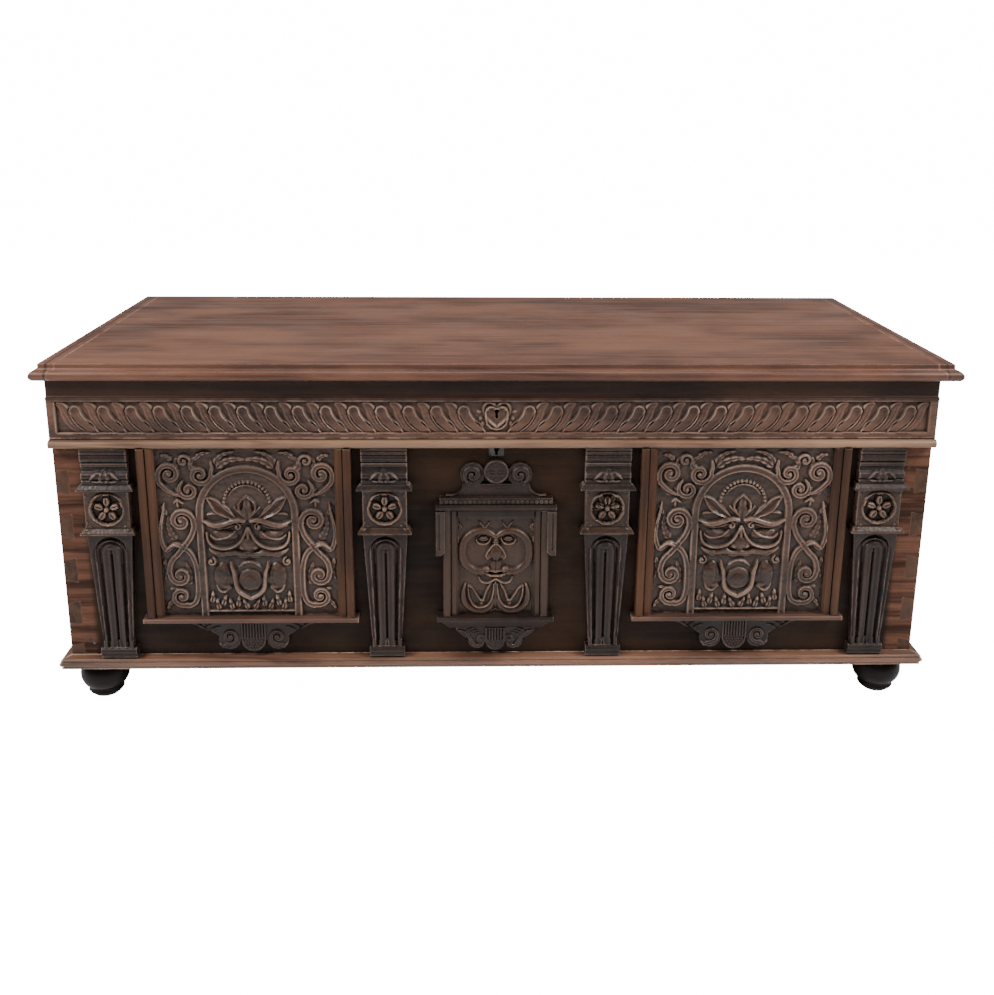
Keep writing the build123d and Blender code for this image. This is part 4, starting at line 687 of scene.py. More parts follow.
def carveArchPanel(side):
    node = "carved_panel_" + side
    low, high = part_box(node)
    centreX, halfWidth = (low.x + high.x) / 2 / mm, (high.x - low.x) / 2 / mm
    foot, top = low.z / mm, high.z / mm
    c = Carving(0, halfWidth, foot - archPanel["level"], top - archPanel["level"], archPanel["pitch"],
                archPanel["ground"])
    g, rise = archPanel["ground"], archPanel["rise"]

    def leaf(width, share, lobes, *points, **shape):
        acanthus(c, curve(points), width, g, rise * share, lobes=lobes, **shape)

    def band(width, up, high, ends, *points, **shape):
        roll(c, curve(points), width, g + up, high, ends=ends, **shape)

    # arch: a flat band with a fillet on each side
    wide, centre = archPanel["archBand"], archPanel["archCentre"]
    inner = archPanel["archRadius"] - wide / 2
    legs = [(inner, -4), (inner, centre)]
    crown = arc(0, centre, inner, range(5, 96, 5))
    strap(c, joined(legs, crown), wide, g, rise * 0.85, rim=0.22, dish=0.28)

    # spandrel: four coils, a husk under them, leaves along the crown
    leaf(15, 0.55, 4, (150, 268), (166, 280), (182, 300), (184, 322))
    outer = joined(curve([(138, 270), (158, 279), (178, 298)]), coil(157, 317, 26, -25, 1.4))
    strap(c, outer, 12, g, rise, ends=(0.4, 0.7), dish=0.3)
    boss(c, 157, 317, 6.5, 6.5, g, rise + 1)
    roll(c, coil(126, 346, 15, 200, -1.3), 9, g, rise * 0.9, ends=(0.7, 0.7))
    boss(c, 126, 346, 4, 4, g, rise)
    strap(c, joined(curve([(70, 344), (68, 332), (71, 318)]), coil(94, 316, 24, 185, 1.35)), 11, g, rise,
          ends=(0.5, 0.7), dish=0.3)
    boss(c, 95, 315, 5.5, 5.5, g, rise + 1)
    leaf(17, 0.9, 3, (98, 324), (112, 334), (108, 348), (92, 354))
    strap(c, coil(119, 282, 23, 60, -1.35), 11, g, rise, ends=(0.4, 0.7), dish=0.3)
    boss(c, 120, 282, 5.5, 5.5, g, rise + 1)
    leaf(13, 0.7, 2, (138, 330), (144, 340), (140, 352))
    leaf(9, 0.8, 2, (136, 268), (141, 276), (146, 285))
    for tip in ((152, 252), (143, 243), (131, 252)):
        roll(c, curve([(143, 262), ((143 + tip[0]) / 2 + 1, (262 + tip[1]) / 2), tip]), 6, g, rise * 0.8,
             ends=(0.8, 0.15))
    leaf(20, 1, 4, (60, 330), (40, 345), (18, 350), (2, 348))
    leaf(15, 0.8, 4, (62, 336), (56, 350), (40, 362), (22, 366))
    leaf(14, 0.8, 3, (100, 352), (88, 362), (70, 364))
    leaf(14, 0.8, 3, (150, 346), (160, 356), (174, 358))

    # side border: two long scrolls that cross in the middle
    leaf(20, 0.5, 5, (150, 168), (160, 184), (166, 205), (164, 226))
    leaf(20, 0.5, 4, (132, 66), (128, 92), (134, 118))
    first = joined(curve([(150, 138), (135, 157), (119, 180), (111, 204)]), coil(138, 214, 27, 195, -1.45))
    second = joined(curve([(133, 161), (147, 142), (164, 122), (170, 98)]), coil(147, 90, 22, 15, -1.35))
    strap(c, first, 13, g, rise, ends=(1, 0.6), dish=0.3)
    strap(c, second, 13, g, rise, ends=(1, 0.6), dish=0.3)
    boss(c, 138, 214, 7, 7, g, rise + 1)
    boss(c, 146, 90, 6, 6, g, rise + 1)
    leaf(13, 0.7, 2, (138, 222), (150, 226), (158, 218))
    outerStrap = curve([(172, 252), (175, 232), (181, 205), (183, 178), (178, 156), (170, 149), (155, 161),
                        (139, 155), (122, 140), (113, 113), (111, 74), (113, 44), (120, 27), (134, 20)])
    strap(c, joined(outerStrap, coil(147, 42, 23, -120, 1.35)), 12, g, rise * 0.95, ends=(0.3, 0.6), dish=0.3)
    boss(c, 147, 42, 6, 6, g, rise + 1)
    leaf(13, 0.8, 2, (150, 50), (160, 58), (172, 60))
    leaf(12, 0.6, 4, (180, 128), (176, 104), (180, 80))
    band(8, 2.5, rise, (0.6, 0.4), (173, 150), (160, 160), (150, 160), (140, 155))
    leaf(15, 0.8, 3, (160, 34), (172, 26), (180, 12))
    leaf(9, 0.7, 2, (168, 225), (172, 238), (180, 246))
    band(5, 0, rise * 0.55, (0.2, 0.2), (126, 200), (134, 196), (144, 198))

    # pearls and rim round the crown leaf
    for x, z in arc(0, 252, 47.5, range(4, 96, 10)):
        boss(c, x, z, 4.0, 4.0, g, rise * 0.85)
    roll(c, arc(0, 252, 40.5, range(25, 96, 7)), 4.5, g, rise * 0.6, ends=(0.3, 1))
    leaf(36, 0.8, 2, (0, 214), (0, 235), (0, 268), tip=0.05)
    band(4, 2, rise * 0.7, (0.6, 0.8), (6, 222), (16, 236), (17, 250), (8, 262), (0, 269))
    band(6, 0, rise * 0.7, (0.5, 0.8), (10, 226), (18, 234), (26, 243))

    # side leaves and brow
    dishLeaf = curve([(26, 217), (50, 238), (84, 268)])
    strap(c, dishLeaf, 22, g, rise * 0.7, ends=(0.3, 0.1), rim=0.24, dish=0.7)
    band(4.5, 1, rise * 0.8, (0.5, 0.5), (30, 218), (52, 226), (70, 240), (83, 266))
    band(4.0, 1, rise * 0.7, (0.5, 0.5), (24, 222), (45, 240), (62, 258), (83, 266))
    band(6, 0, rise * 0.7, (0.3, 0.8), (62, 229), (72, 230), (83, 228))
    band(13, 1, rise + 1.5, (0.7, 0.35), (7, 214), (20, 216), (36, 212), (54, 206), (72, 205), (91, 214), lean=0.3)
    band(6, 0, rise * 0.8, (0.5, 0.3), (10, 207), (30, 204), (48, 198), (64, 197), (86, 203))

    # eyes: a small coil by the nose, the lower lid, a crescent below
    roll(c, coil(22, 201, 9, 80, 1.1), 5, g + 1, rise, ends=(0.8, 0.8))
    boss(c, 22, 201, 3, 3, g, rise + 2)
    boss(c, 48, 181, 28, 11, g, rise * 0.85, turn=8)
    dish(c, 46, 191, 16, 7, 3.0)
    band(6, 1.5, rise, (0.4, 0.3), (26, 191), (38, 180), (52, 175), (68, 174), (80, 182))
    band(7, 0.5, rise + 1.5, (0.6, 0.5), (4, 194), (9, 180), (20, 164), (36, 154), (56, 151), (74, 157),
         (84, 170), (87, 188))

    # nose, moustache, the small coils at its ends
    roll(c, [(0, 196), (0, 176)], 11, g, rise + 1)
    boss(c, 0, 161, 20, 20, g, rise + 3, power=0.7)
    boss(c, 13, 156, 9, 9, g, rise + 2)
    cut(c, curve([(6, 148), (12, 146), (18, 151)]), 4, 2.5)
    band(17, 0, rise * 0.9, (0.9, 0.3), (0, 138), (14, 136), (32, 141), (54, 138), (70, 142), (82, 150), lean=-0.2)
    cut(c, curve([(4, 133), (24, 134), (48, 133), (66, 139)]), 4, 2.0)
    cut(c, curve([(14, 143), (34, 146), (56, 143)]), 3, 1.5)
    roll(c, coil(80, 122, 10, 110, 1.2), 6, g, rise, ends=(0.6, 0.8))
    boss(c, 80, 122, 3, 3, g, rise + 1)

    # cheek lobe, shield with its boss
    boss(c, 58, 87, 20, 32, g, rise, power=0.5)
    boss(c, 52, 66, 15, 10, g, rise, power=0.5, turn=25)
    cut(c, curve([(50, 108), (47, 92), (50, 74)]), 4, 2.0)
    boss(c, 40, 80, 6, 12, g, rise * 0.7)
    band(7, 0, rise * 0.9, (0.4, 0.4), (46, 60), (56, 52), (66, 56), (72, 68))
    shieldEdge = curve([(39, 120), (37, 108), (33, 95), (31, 76), (27, 58), (16, 46), (0, 38)])
    roll(c, shieldEdge, 11, g + 1, rise + 1, ends=(0.4, 1), lean=-0.3)
    boss(c, 0, 79, 26, 25, g, rise * 0.8, power=0.3)
    dish(c, 0, 79, 23, 22, 2.0, power=0.5)
    boss(c, 0, 77, 19, 17, g, rise * 0.9, power=0.5)
    band(7, 0, rise * 0.8, (1, 0.3), (0, 121), (12, 118), (24, 108))

    # crinkled leaves along the foot
    for x, z, turn in ((12, 24, 60), (27, 30, 100), (43, 24, 70), (57, 32, 110), (71, 24, 75), (82, 40, 95)):
        ax, az = cos(radians(turn)), sin(radians(turn))
        acanthus(c, [(x - 12 * ax, z - 14 * az), (x, z), (x + 11 * ax, z + 13 * az)], 15, g, rise, lobes=2)
        boss(c, x + 6 * ax, z + 7 * az, 4, 4, g, rise + 1)
    roll(c, [(0, 8), (92, 8)], 6, g, rise * 0.7)

    c.height = softened(c.height, 1)
    whole = Carving(-halfWidth, halfWidth, foot, top, archPanel["pitch"], g)
    whole.height = mirrored(c, whole)
    toolMarks(whole, archPanel["marks"], archPanel["seed"])
    finishCarving("archPanel_" + side, whole, centreX, carvedWalnut, node, archPanel["wearAndHighlight"])


for panelSide in ("left", "right"):
    carveArchPanel(panelSide)


# frieze: leaning flutes with raised rims, curled leaves between them, a heart round the keyhole
friezeCut = {
    "pitch": 1.3,
    "first": 68.0,
    "step": 56.7,
    "count": 15,
    "fluteWidth": 27.0,
    "rim": 4.2,
    "hollow": 3.6,
    "edge": 3.5,
    "seed": 11,
}


def flute(carving, path, width, rim, hollow, ends):
    # a scooped channel with a thin raised rim, shallower towards its tail
    gap, share, _ = trace(carving, path, width)
    u = gap / np.maximum(widthAlong(share, width / 2, ends), 0.5)
    scoop = hollow * np.clip(1 - (u / 0.8) ** 2, 0, 1) ** 0.7 * (1 - 0.5 * share)
    height = rim * np.exp(-((u - 0.86) / 0.13) ** 2) - scoop
    carving.height = np.where(u < 1.12, height, carving.height)


def paintFrieze(c):
    low, high = c.z[0] + 11, c.z[-1] - friezeCut["edge"]
    for k in range(friezeCut["count"]):
        x = friezeCut["first"] + friezeCut["step"] * k
        body = curve([(x - 16, low - 2), (x + 3, low + 10), (x + 17, low + 28), (x + 25, high - 16),
                      (x + 37, high - 4)])
        roll(c, body, 21, 0, 3.4, ends=(0.4, 0.35), lean=0.35)
        tip = curve([(x + 12, high - 20), (x + 16, high - 11), (x + 25, high - 3), (x + 38, high - 2)])
        roll(c, tip, 6, 0.5, 4.6, ends=(0.5, 0.3))
        for step in range(4):
            s = step / 4
            boss(c, x + 3 + 13 * s, low + 8 + 22 * s, 4.5, 3.5, 0.5, 3.2, turn=50)
        cut(c, curve([(x - 8, low), (x + 9, low + 14), (x + 21, low + 34), (x + 28, high - 14)]), 4, 1.8)
    for k in range(friezeCut["count"]):
        x = friezeCut["first"] + friezeCut["step"] * k
        line = curve([(x, high - 21), (x - 3, high - 32), (x - 12, high - 45), (x - 25, high - 55), (x - 40, low - 3)])
        flute(c, line, friezeCut["fluteWidth"], friezeCut["rim"], friezeCut["hollow"], (1, 0.45))
    heart = curve([(0, high - 14), (8, high - 4), (20, high - 3), (27, high - 13), (25, high - 27), (16, high - 40),
                   (6, high - 49), (0, high - 54)])
    roll(c, heart, 7, 0, 5)
    for turn, reach in ((28, 12), (-5, 33), (-38, 36), (-60, 44)):
        ax, az = cos(radians(turn)), sin(radians(turn))
        boss(c, 6 + 0.72 * reach * ax + 6, high - 20 + 0.72 * reach * az, 6, 4, 0, 3.6, turn=turn)
    dish(c, 0, high - 26, 16, 21, 2.0, power=0.4)
    c.height[(c.gridZ < low - 1) | (c.gridZ > high + 0.5)] = 0
    c.height[c.gridX > c.x[-1] - 6] = 0


carveOnCad("friezeCarving", "gadroon_frieze", friezeCut["pitch"], paintFrieze, friezeWalnut, friezeCut["seed"])


# aedicule panel: a grotesque face ringed by a heavy scroll, two dished leaves under its chin
aediculeCut = {"pitch": 1.0, "ground": 9, "rise": 7.0, "top": 439.0, "seed": 21}


def paintAedicule(c):
    rise = aediculeCut["rise"]
    drop = c.z[-1] - aediculeCut["top"]

    def line(*points):
        return curve([(x, z + drop) for x, z in points])

    boss(c, 40, 362 + drop, 33, 42, 0, 4.5, power=0.5)
    roll(c, line((0, 393), (8, 400), (18, 405), (32, 407), (46, 403), (59, 393), (68, 378), (71, 357), (67, 338),
                 (58, 325), (44, 316), (29, 315), (20, 318)), 19, 0, rise + 3, ends=(0.55, 0.9))
    boss(c, 21, 318 + drop, 8, 9, 0, rise + 2)
    dish(c, 27, 388 + drop, 19, 13, 4.5, power=0.6)
    boss(c, 26, 389 + drop, 12, 6.5, -1, rise + 1, power=0.5)
    roll(c, line((10, 391), (15, 381), (25, 376), (37, 379), (43, 388)), 4.5, 0, rise, ends=(0.4, 0.4))
    roll(c, line((12, 394), (22, 399), (33, 398), (42, 391)), 4, 0, rise - 1, ends=(0.4, 0.4))
    cut(c, line((17, 391), (26, 388), (36, 391)), 3, 2.5)
    roll(c, line((0, 390), (0, 376), (0, 362)), 13, 0, rise + 1, ends=(0.6, 1.3))
    for z in (384, 379):
        cut(c, [(-2, z + drop), (9, z + drop - 1)], 3, 2)
    boss(c, 0, 357 + drop, 18, 20, 0, rise + 5, power=0.7)
    boss(c, 14, 351 + drop, 9, 9, 0, rise + 3)
    roll(c, line((2, 378), (10, 370), (17, 360), (21, 350), (16, 343)), 5, 0, rise + 3, ends=(0.6, 0.5))
    dish(c, 9, 343 + drop, 5, 3.5, 4)
    boss(c, 0, 326 + drop, 13, 14, 0, rise - 1)
    cut(c, [(0, 338 + drop), (0, 318 + drop)], 5, 2)
    roll(c, line((0, 313), (9, 316), (19, 315)), 7, 0, rise, ends=(1, 0.3))
    roll(c, line((0, 303), (12, 304), (24, 311)), 7, 0, rise - 0.5, ends=(1, 0.3))
    cut(c, line((0, 308), (12, 309), (24, 314)), 4, 4)
    for x in (8, 15, 22):
        cut(c, [(x, 301 + drop), (x + 3, 308 + drop)], 2.5, 2)
    roll(c, line((0, 297), (10, 290), (20, 287), (31, 291), (36, 301)), 5, 0, rise, ends=(0.8, 0.5))

    # leaves under the chin
    outer = line((65, 284), (69, 262), (65, 240), (50, 226), (34, 221), (20, 225), (9, 236), (4, 250))
    roll(c, outer, 15, 0, rise - 1, ends=(0.4, 0.6), lean=-0.3)
    roll(c, line((59, 282), (57, 258), (49, 238), (36, 230), (20, 234), (9, 248), (5, 266), (4, 285)), 4.5, 0.5, rise,
         ends=(0.6, 0.6))
    dish(c, 32, 252 + drop, 16, 17, 2.5, power=0.5)
    roll(c, line((59, 282), (49, 274), (42, 262), (35, 251), (29, 246), (24, 254), (20, 268), (10, 286)), 4.5, 0.5,
         rise - 1, ends=(0.6, 0.6))
    boss(c, 29, 247 + drop, 6.5, 4, 0, rise + 1)
    boss(c, 30, 239 + drop, 3.5, 2.5, 0, rise - 2)
    roll(c, line((0, 292), (0, 265), (0, 236)), 9, 0, rise - 1.5, ends=(0.4, 0.7))
    roll(c, line((12, 284), (18, 272), (22, 262)), 9, 0, rise - 2, ends=(0.5, 0.5))
    roll(c, line((0, 226), (16, 220), (40, 217)), 5, 0, rise - 4, ends=(0.8, 0.2))

    # small scrolls in the upper corners, sprigs over the brow
    strap(c, coil(80, 414 + drop, 11, -60, 1.2), 6, 0, rise - 1, ends=(0.5, 0.9))
    roll(c, line((92, 404), (88, 398), (82, 390), (80, 380)), 6, 0, rise - 3, ends=(0.8, 0.2))
    for tip in ((13, 427), (36, 428)):
        roll(c, line((23, 412), ((23 + tip[0]) / 2, 419), tip), 4.5, 0, rise - 2, ends=(0.9, 0.2))


carveOnCad("aediculeCarving", "aedicule_panel", aediculeCut["pitch"], paintAedicule, warmWalnut,
           aediculeCut["seed"], ground=aediculeCut["ground"])


# pediment: two rolled C-scrolls and a round medallion with worn marks
pedimentCut = {"pitch": 1.0, "ground": 8, "seed": 31}


def paintPediment(c):
    foot = c.z[0]
    middle = foot + 56
    tail = curve([(104, foot + 3), (92, foot + 5), (81, foot + 11), (73, foot + 22), (69, foot + 29)])
    roll(c, tail, 6, 0, 4, ends=(0.4, 0.8))
    roll(c, coil(50, foot + 49, 18.5, -60, 1.5, eye=0.12), 16, 0, 7.5, ends=(0.35, 0.25), lean=0.2)
    boss(c, 50, foot + 49, 4, 4, 0, 7)
    acanthus(c, curve([(52, foot + 38), (56, foot + 30), (58, foot + 22)]), 10, 0, 4.5, lobes=2)
    boss(c, 0, middle, 26, 26, 0, 4.5, power=0.25)
    roll(c, arc(0, middle, 24, range(-90, 91, 6)), 4.5, 3, 3.5)
    for x, z, dx, dz in ((2, 14, 3, 3), (4, 2, 12, 0), (3, -4, 11, 1), (2, -12, 5, -6), (9, -11, 4, -5)):
        cut(c, [(x, middle + z), (x + dx, middle + z + dz)], 2.8, 2.2)
    roll(c, curve([(0, foot + 22), (16, foot + 20), (34, foot + 23)]), 4, 0, 1.2, ends=(0.8, 0.2))


carveOnCad("pedimentCarving", "aedicule_pediment", pedimentCut["pitch"], paintPediment, uprightWalnut,
           pedimentCut["seed"], ground=pedimentCut["ground"])


# aprons: a fluted and scaled tongue between two volutes with leafy tails
apronCut = {"pitch": 1.0, "ground": 10, "seed": 41}


def paintApron(c):
    foot, top, reach = c.z[0], c.z[-1], c.x[-1] / 144
    deep = top - foot
    tongue = 25 * min(1.0, 0.6 + 0.4 * reach)
    for x in np.arange(0, tongue, 6.2):
        roll(c, [(x, top), (x, foot + 0.42 * deep)], 5, 0, 3.2, ends=(1, 0.8))
    for row in range(5):
        for column in range(4):
            x = (column + 0.5 * (row % 2)) * 6.6
            z = foot + 5 + row * 0.085 * deep
            if x < tongue - 3 and hypot(x, z - foot - 0.45 * deep) < 0.45 * deep:
                boss(c, x, z, 3.4, 3.8, 0, 3.0)
    edge = arc(0, foot + tongue + 1, tongue, range(-90, 1, 10))
    roll(c, joined(edge, [(tongue, top)]), 4, 0, 3.6)
    x, z, radius = 52 * reach, foot + 0.46 * deep, 0.27 * deep
    tail = curve([(134 * reach, top - 5), (112 * reach, top - 0.2 * deep), (92 * reach, top - 0.48 * deep),
                  (74 * reach, foot + 0.2 * deep), (60 * reach, foot + 0.17 * deep)])
    strap(c, joined(tail, coil(x, z, radius, -70, -1.35)), 8, 0, 4.6, ends=(0.3, 0.8))
    boss(c, x, z, 4, 4, 0, 5)
    for s in (0.2, 0.4, 0.6):
        leafX, leafZ = (120 - 50 * s) * reach, top - 5 - 0.45 * deep * s
        acanthus(c, curve([(leafX, leafZ - 3), (leafX - 8, leafZ + 5), (leafX - 20, leafZ + 9)]), 9, 0, 3.2, lobes=2)


for apron in ("panel_left_apron", "panel_right_apron", "aedicule_apron"):
    carveOnCad(apron + "Carving", apron, apronCut["pitch"], paintApron, uprightWalnut,
               apronCut["seed"] + len(apron), ground=apronCut["ground"])


# pilasters: leafed capitals, rosette blocks, shafts with round-headed lines
pilasterCut = {
    "pitch": 1.0,
    "ring": 36.0,
    "ledge": 12.0,
    "petals": {1: 5, 2: 5, 3: 6, 4: 5},
    # crest strengths: wear and painted highlight on the shaft's and the capital's crests
    "shaftWearAndHighlight": 0.2,
    "capitalWearAndHighlight": 1.0,
    "seed": 61,
}


def paintRosette(c, petals):
    middle, ring = (c.z[0] + pilasterCut["ledge"] + c.z[-1]) / 2, pilasterCut["ring"]
    dish(c, 0, middle, ring, ring, 3.0, power=0.25)
    roll(c, arc(0, middle, ring, range(-90, 91, 6)), 5, 0, 3.0)
    first = 90 if petals == 5 else 60
    for index in range(3):
        turn = radians(first - index * 360 / petals)
        ax, az = cos(turn), sin(turn)
        roll(c, [(8 * ax, middle + 8 * az), (20 * ax, middle + 20 * az), (30 * ax, middle + 30 * az)], 17, -3, 7.5,
             ends=(0.3, 0.8))
        cut(c, [(10 * ax, middle + 10 * az), (29 * ax, middle + 29 * az)], 5, 3)
    boss(c, 0, middle, 7.5, 7.5, -2, 9)
    for up in (-1, 1):
        acanthus(c, curve([(47, middle + 45 * up), (40, middle + 39 * up), (31, middle + 40 * up)]), 11, 0, 3, lobes=2)
        acanthus(c, curve([(47, middle + 43 * up), (43, middle + 34 * up), (42, middle + 26 * up)]), 9, 0, 2.6, lobes=2)


def paintShaft(c):
    foot, top, wide = c.z[0], c.z[-1], c.x[-1]

    def loop(share, head):
        z = np.linspace(foot + 3, head, 9)
        x = share * wide * (0.78 + 0.22 * (z - foot) / (top - foot))
        return joined(np.column_stack([x, z]), arc(0, head, x[-1], range(10, 91, 8)))

    cut(c, loop(0.8, top - 48), 4.5, 2.2)
    roll(c, loop(0.66, top - 46), 5, 0, 2.4)
    cut(c, loop(0.5, top - 44), 7, 3.6)
    roll(c, loop(0.33, top - 43), 8, 0, 2.6)
    boss(c, 0, top - 33, 10, 6, 0, 3.4)
    cut(c, [(0, foot + 10), (0, top - 50)], 8, 5)
    for x in (0, 0.34 * wide, 0.62 * wide):
        roll(c, [(x, foot), (x, foot + 9), (x, foot + 16)], 9, 0, 3.2, ends=(1, 0.2))


def paintCapital(c):
    middle = c.z[0] + pilasterCut["ledge"] + 16
    acanthus(c, curve([(0, middle - 13), (2, middle), (0, middle + 15)]), 26, 0, 4.5, lobes=2)
    roll(c, curve([(3, middle + 8), (14, middle + 10), (22, middle + 3), (30, middle - 6)]), 7, 0, 3.6, ends=(0.5, 0.2))
    roll(c, curve([(4, middle - 8), (14, middle - 10), (25, middle - 8)]), 6, 0, 2.8, ends=(0.5, 0.2))


for index, petals in pilasterCut["petals"].items():
    stem = "pilaster_%d_" % index
    seed = pilasterCut["seed"] + index
    pitch = pilasterCut["pitch"]
    carveOnCad("rosette_%d" % index, stem + "block", pitch, lambda c: paintRosette(c, petals), warmWalnut, seed)
    carveOnCad("shaftLines_%d" % index, stem + "shaft", pitch * 1.2, paintShaft, uprightWalnut, seed + 10,
               crestWearAndHighlight=pilasterCut["shaftWearAndHighlight"])
    carveOnCad("capitalLeaf_%d" % index, stem + "capital", pitch, paintCapital, uprightWalnut, seed + 20,
               crestWearAndHighlight=pilasterCut["capitalWearAndHighlight"])


# nails: hammered heads clenched in the lid's top and in both ends of the front
nailHeads = {
    "radius": 4.2,
    "dents": 0.12,
    "smoothAngle": 60,
    "lidRise": 0.4,
    "lidSunk": 0.1,
    "lidSeed": 100,
    "lid": ((-568, 330), (0, 330), (545, 330), (0, -276)),
    "frontRise": 1.1,
    "frontSunk": 0.2,
    "frontSeed": 110,
    "front": ((-886, 150), (-877, 142), (-871, 566), (865, 540)),
}


def driveNail(name, place, rise, flat, body, seed):
    rng = np.random.default_rng(seed)
    bpy.ops.object.select_all(action="DESELECT")
    bpy.ops.mesh.primitive_uv_sphere_add(segments=12, ring_count=8, radius=nailHeads["radius"] * mm)
    piece = bpy.context.object
    piece.name = name
    # the head is flattened to its rise and dented all round
    for vertex in piece.data.vertices:
        dent = 1 + nailHeads["dents"] * (rng.random() - 0.5)
        vertex.co = Vector(vertex.co[i] * (rise / nailHeads["radius"] if i == flat else dent) for i in range(3))
    piece.location = place
    bpy.ops.object.transform_apply(location=True, rotation=False, scale=True)
    bpy.ops.object.shade_smooth_by_angle(angle=radians(nailHeads["smoothAngle"]))
    piece.data.materials.append(iron)
    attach(piece, body)


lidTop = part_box("lid_board_front")[1].z
for index, (x, y) in enumerate(nailHeads["lid"]):
    driveNail("lidNail_%d" % index, (x * mm, y * mm, lidTop - nailHeads["lidSunk"] * mm), nailHeads["lidRise"], 2,
              "lid", nailHeads["lidSeed"] + index)
for index, (x, z) in enumerate(nailHeads["front"]):
    driveNail("frontNail_%d" % index, (x * mm, frontFace + nailHeads["frontSunk"] * mm, z * mm),
              nailHeads["frontRise"], 1, "chest", nailHeads["frontSeed"] + index)
print("nails driven")


# feet: turned smoothly over the levels of the solid
footTurning = {"steps": 72, "rounds": 4, "weld": 0.00005, "smoothAngle": 40}


def turnFoot(name):
    low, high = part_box(name)
    centreX, centreY = (low.x + high.x) / 2, (low.y + high.y) / 2
    levels = {}
    for vertex in nodes[name].data.vertices:
        level = round(vertex.co.z, 4)
        levels.setdefault(level, []).append(round(hypot(vertex.co.x - centreX, vertex.co.y - centreY), 4))
    outline = [(max(levels[level]), level) for level in sorted(levels)]
    shoulder = max(level for radius, level in outline if radius > 2 * outline[-1][0])
    body = curve([point for point in outline if point[1] <= shoulder], footTurning["rounds"])
    tenon = [(outline[-1][0], shoulder), outline[-1]]
    path = [(0.0, outline[0][1]), *[tuple(point) for point in body], *tenon, (0.0, outline[-1][1])]
    bpy.ops.object.select_all(action="DESELECT")
    mesh = bpy.data.meshes.new(name + "Turning")
    mesh.from_pydata([(centreX + radius, centreY, level) for radius, level in path],
                     [(i, i + 1) for i in range(len(path) - 1)], [])
    piece = bpy.data.objects.new(name + "Turning", mesh)
    bpy.context.scene.collection.objects.link(piece)
    piece.select_set(True)
    bpy.context.view_layer.objects.active = piece
    bpy.ops.object.mode_set(mode="EDIT")
    bpy.ops.mesh.select_all(action="SELECT")
    bpy.ops.mesh.spin(steps=footTurning["steps"], angle=2 * pi, center=(centreX, centreY, 0), axis=(0, 0, 1))
    bpy.ops.mesh.select_all(action="SELECT")
    bpy.ops.mesh.remove_doubles(threshold=footTurning["weld"])
    bpy.ops.mesh.normals_make_consistent(inside=False)
    bpy.ops.object.mode_set(mode="OBJECT")
    bpy.ops.object.shade_smooth_by_angle(angle=radians(footTurning["smoothAngle"]))
    mesh.materials.append(footWood)
    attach(piece, "chest")
    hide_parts(name)
    print(name, "turned")


for footName in sorted(name for name in nodes if name.startswith("foot_")):
    turnFoot(footName)


# camera, floor and light
view = {
    "place": (-0.0676, -2.555, 1.287),
    "right": (0.99966756, -0.02485732, 0.00684699),
    "up": (-0.00040722, 0.25030610, 0.96816667),
    "focalPixels": 1098.0,
    "imageWidth": 994.0,
    "imageHeight": 995.0,
    "centre": (496.2, 384.1),
    "sensor": 36.0,
}


def placeCamera():
    right, up = Vector(view["right"]), Vector(view["up"])
    back = right.cross(up)
    lens = bpy.data.cameras.new("studioCamera")
    camera = bpy.data.objects.new("studioCamera", lens)
    bpy.context.scene.collection.objects.link(camera)
    turn = Matrix((right, up, back)).transposed().to_4x4()
    camera.matrix_world = Matrix.Translation(view["place"]) @ turn
    lens.sensor_width = view["sensor"]
    lens.sensor_fit = "HORIZONTAL"
    lens.lens = view["focalPixels"] / view["imageWidth"] * view["sensor"]
    lens.shift_x = (view["imageWidth"] / 2 - view["centre"][0]) / view["imageWidth"]
    lens.shift_y = (view["centre"][1] - view["imageHeight"] / 2) / view["imageWidth"]
    bpy.context.scene.camera = camera


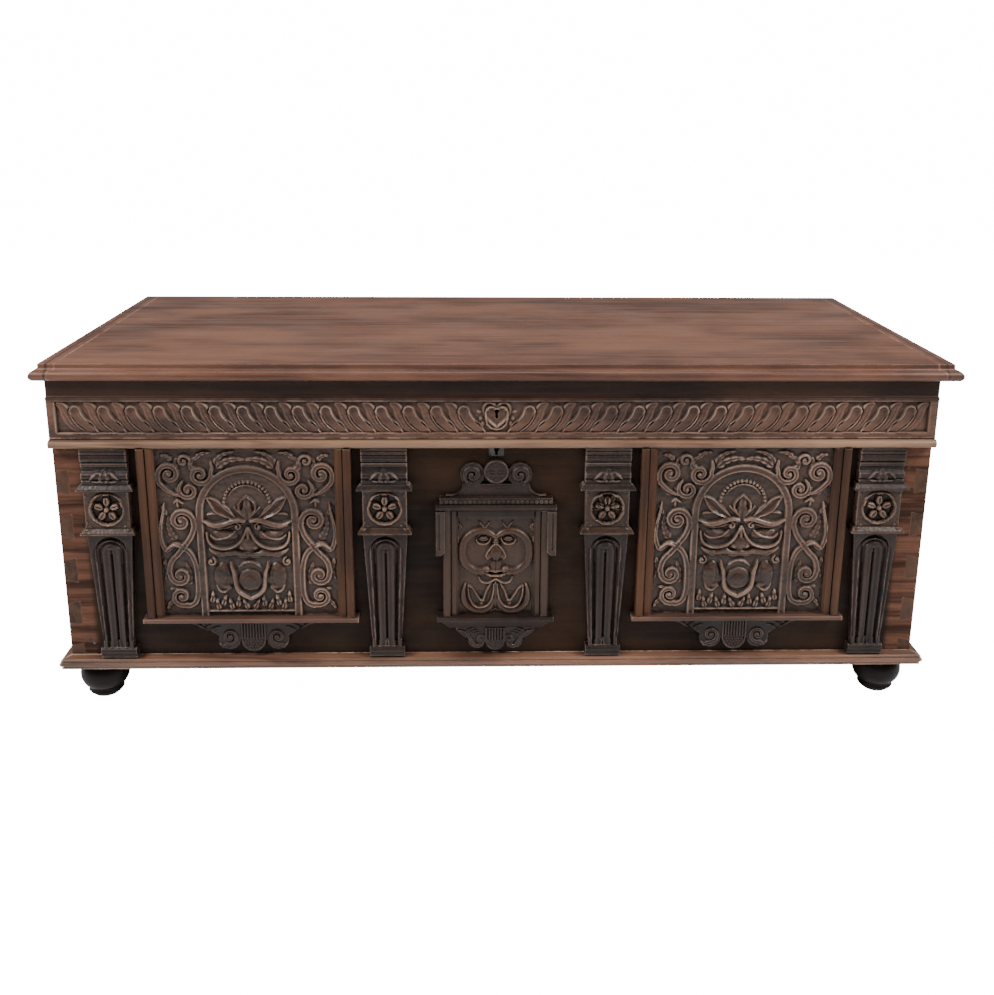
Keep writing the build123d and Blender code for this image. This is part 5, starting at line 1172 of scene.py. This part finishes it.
studioSet = {
    "floorSize": 14,
    "paper": (0.93, 0.93, 0.93),
    "paperRoughness": 0.9,
    "backdrop": 16.0,       # how bright the paper and the air are to the camera
    "fill": 0.32,           # how bright the air is to the chest
}
studioLights = (      # name, place, size, strength, what it points at
    ("leftSoftbox", (-2.5, -1.5, 2.5), 0.9, 150.0, (-0.1, -0.2, 0.4)),
    ("rightSoftbox", (2.5, -1.5, 2.5), 0.9, 148.0, (0.1, -0.2, 0.4)),
    ("topSoftbox", (0.0, 0.2, 3.4), 2.4, 96.0, (0.0, 0.0, 0.5)),
)


def placeFloor():
    bpy.ops.mesh.primitive_plane_add(size=studioSet["floorSize"], location=(0, 0, 0))
    floor = bpy.context.object
    floor.name = "studioFloor"
    paper, tree, shader = newMaterial("floorPaper")
    shader.inputs["Base Color"].default_value = (*studioSet["paper"], 1)
    shader.inputs["Roughness"].default_value = studioSet["paperRoughness"]
    shader.inputs["Emission Color"].default_value = (1, 1, 1, 1)
    eye = addNode(tree, "ShaderNodeLightPath")
    glow = mathNode(tree, "MULTIPLY", eye.outputs["Is Camera Ray"], studioSet["backdrop"])
    tree.links.new(glow, shader.inputs["Emission Strength"])
    floor.data.materials.append(paper)


def placeLights():
    for name, place, size, power, target in studioLights:
        lamp = bpy.data.lights.new(name, "AREA")
        lamp.shape = "SQUARE"
        lamp.size = size
        lamp.energy = power
        holder = bpy.data.objects.new(name, lamp)
        bpy.context.scene.collection.objects.link(holder)
        aim = Vector(target) - Vector(place)
        holder.matrix_world = Matrix.Translation(place) @ aim.to_track_quat("-Z", "Y").to_matrix().to_4x4()
    world = bpy.data.worlds.new("studioAir")
    bpy.context.scene.world = world
    world.use_nodes = True
    sky = world.node_tree.nodes["Background"]
    sky.inputs["Color"].default_value = (1.0, 1.0, 1.0, 1)
    # the backdrop is seen bright, but gives only a soft fill
    eye = addNode(world.node_tree, "ShaderNodeLightPath")
    strength = ramp(world.node_tree, eye.outputs["Is Camera Ray"],
                    (0.0, 1.0, studioSet["fill"], studioSet["backdrop"]))
    world.node_tree.links.new(strength, sky.inputs["Strength"])


placeCamera()
placeFloor()
placeLights()
print("camera, floor and light placed")
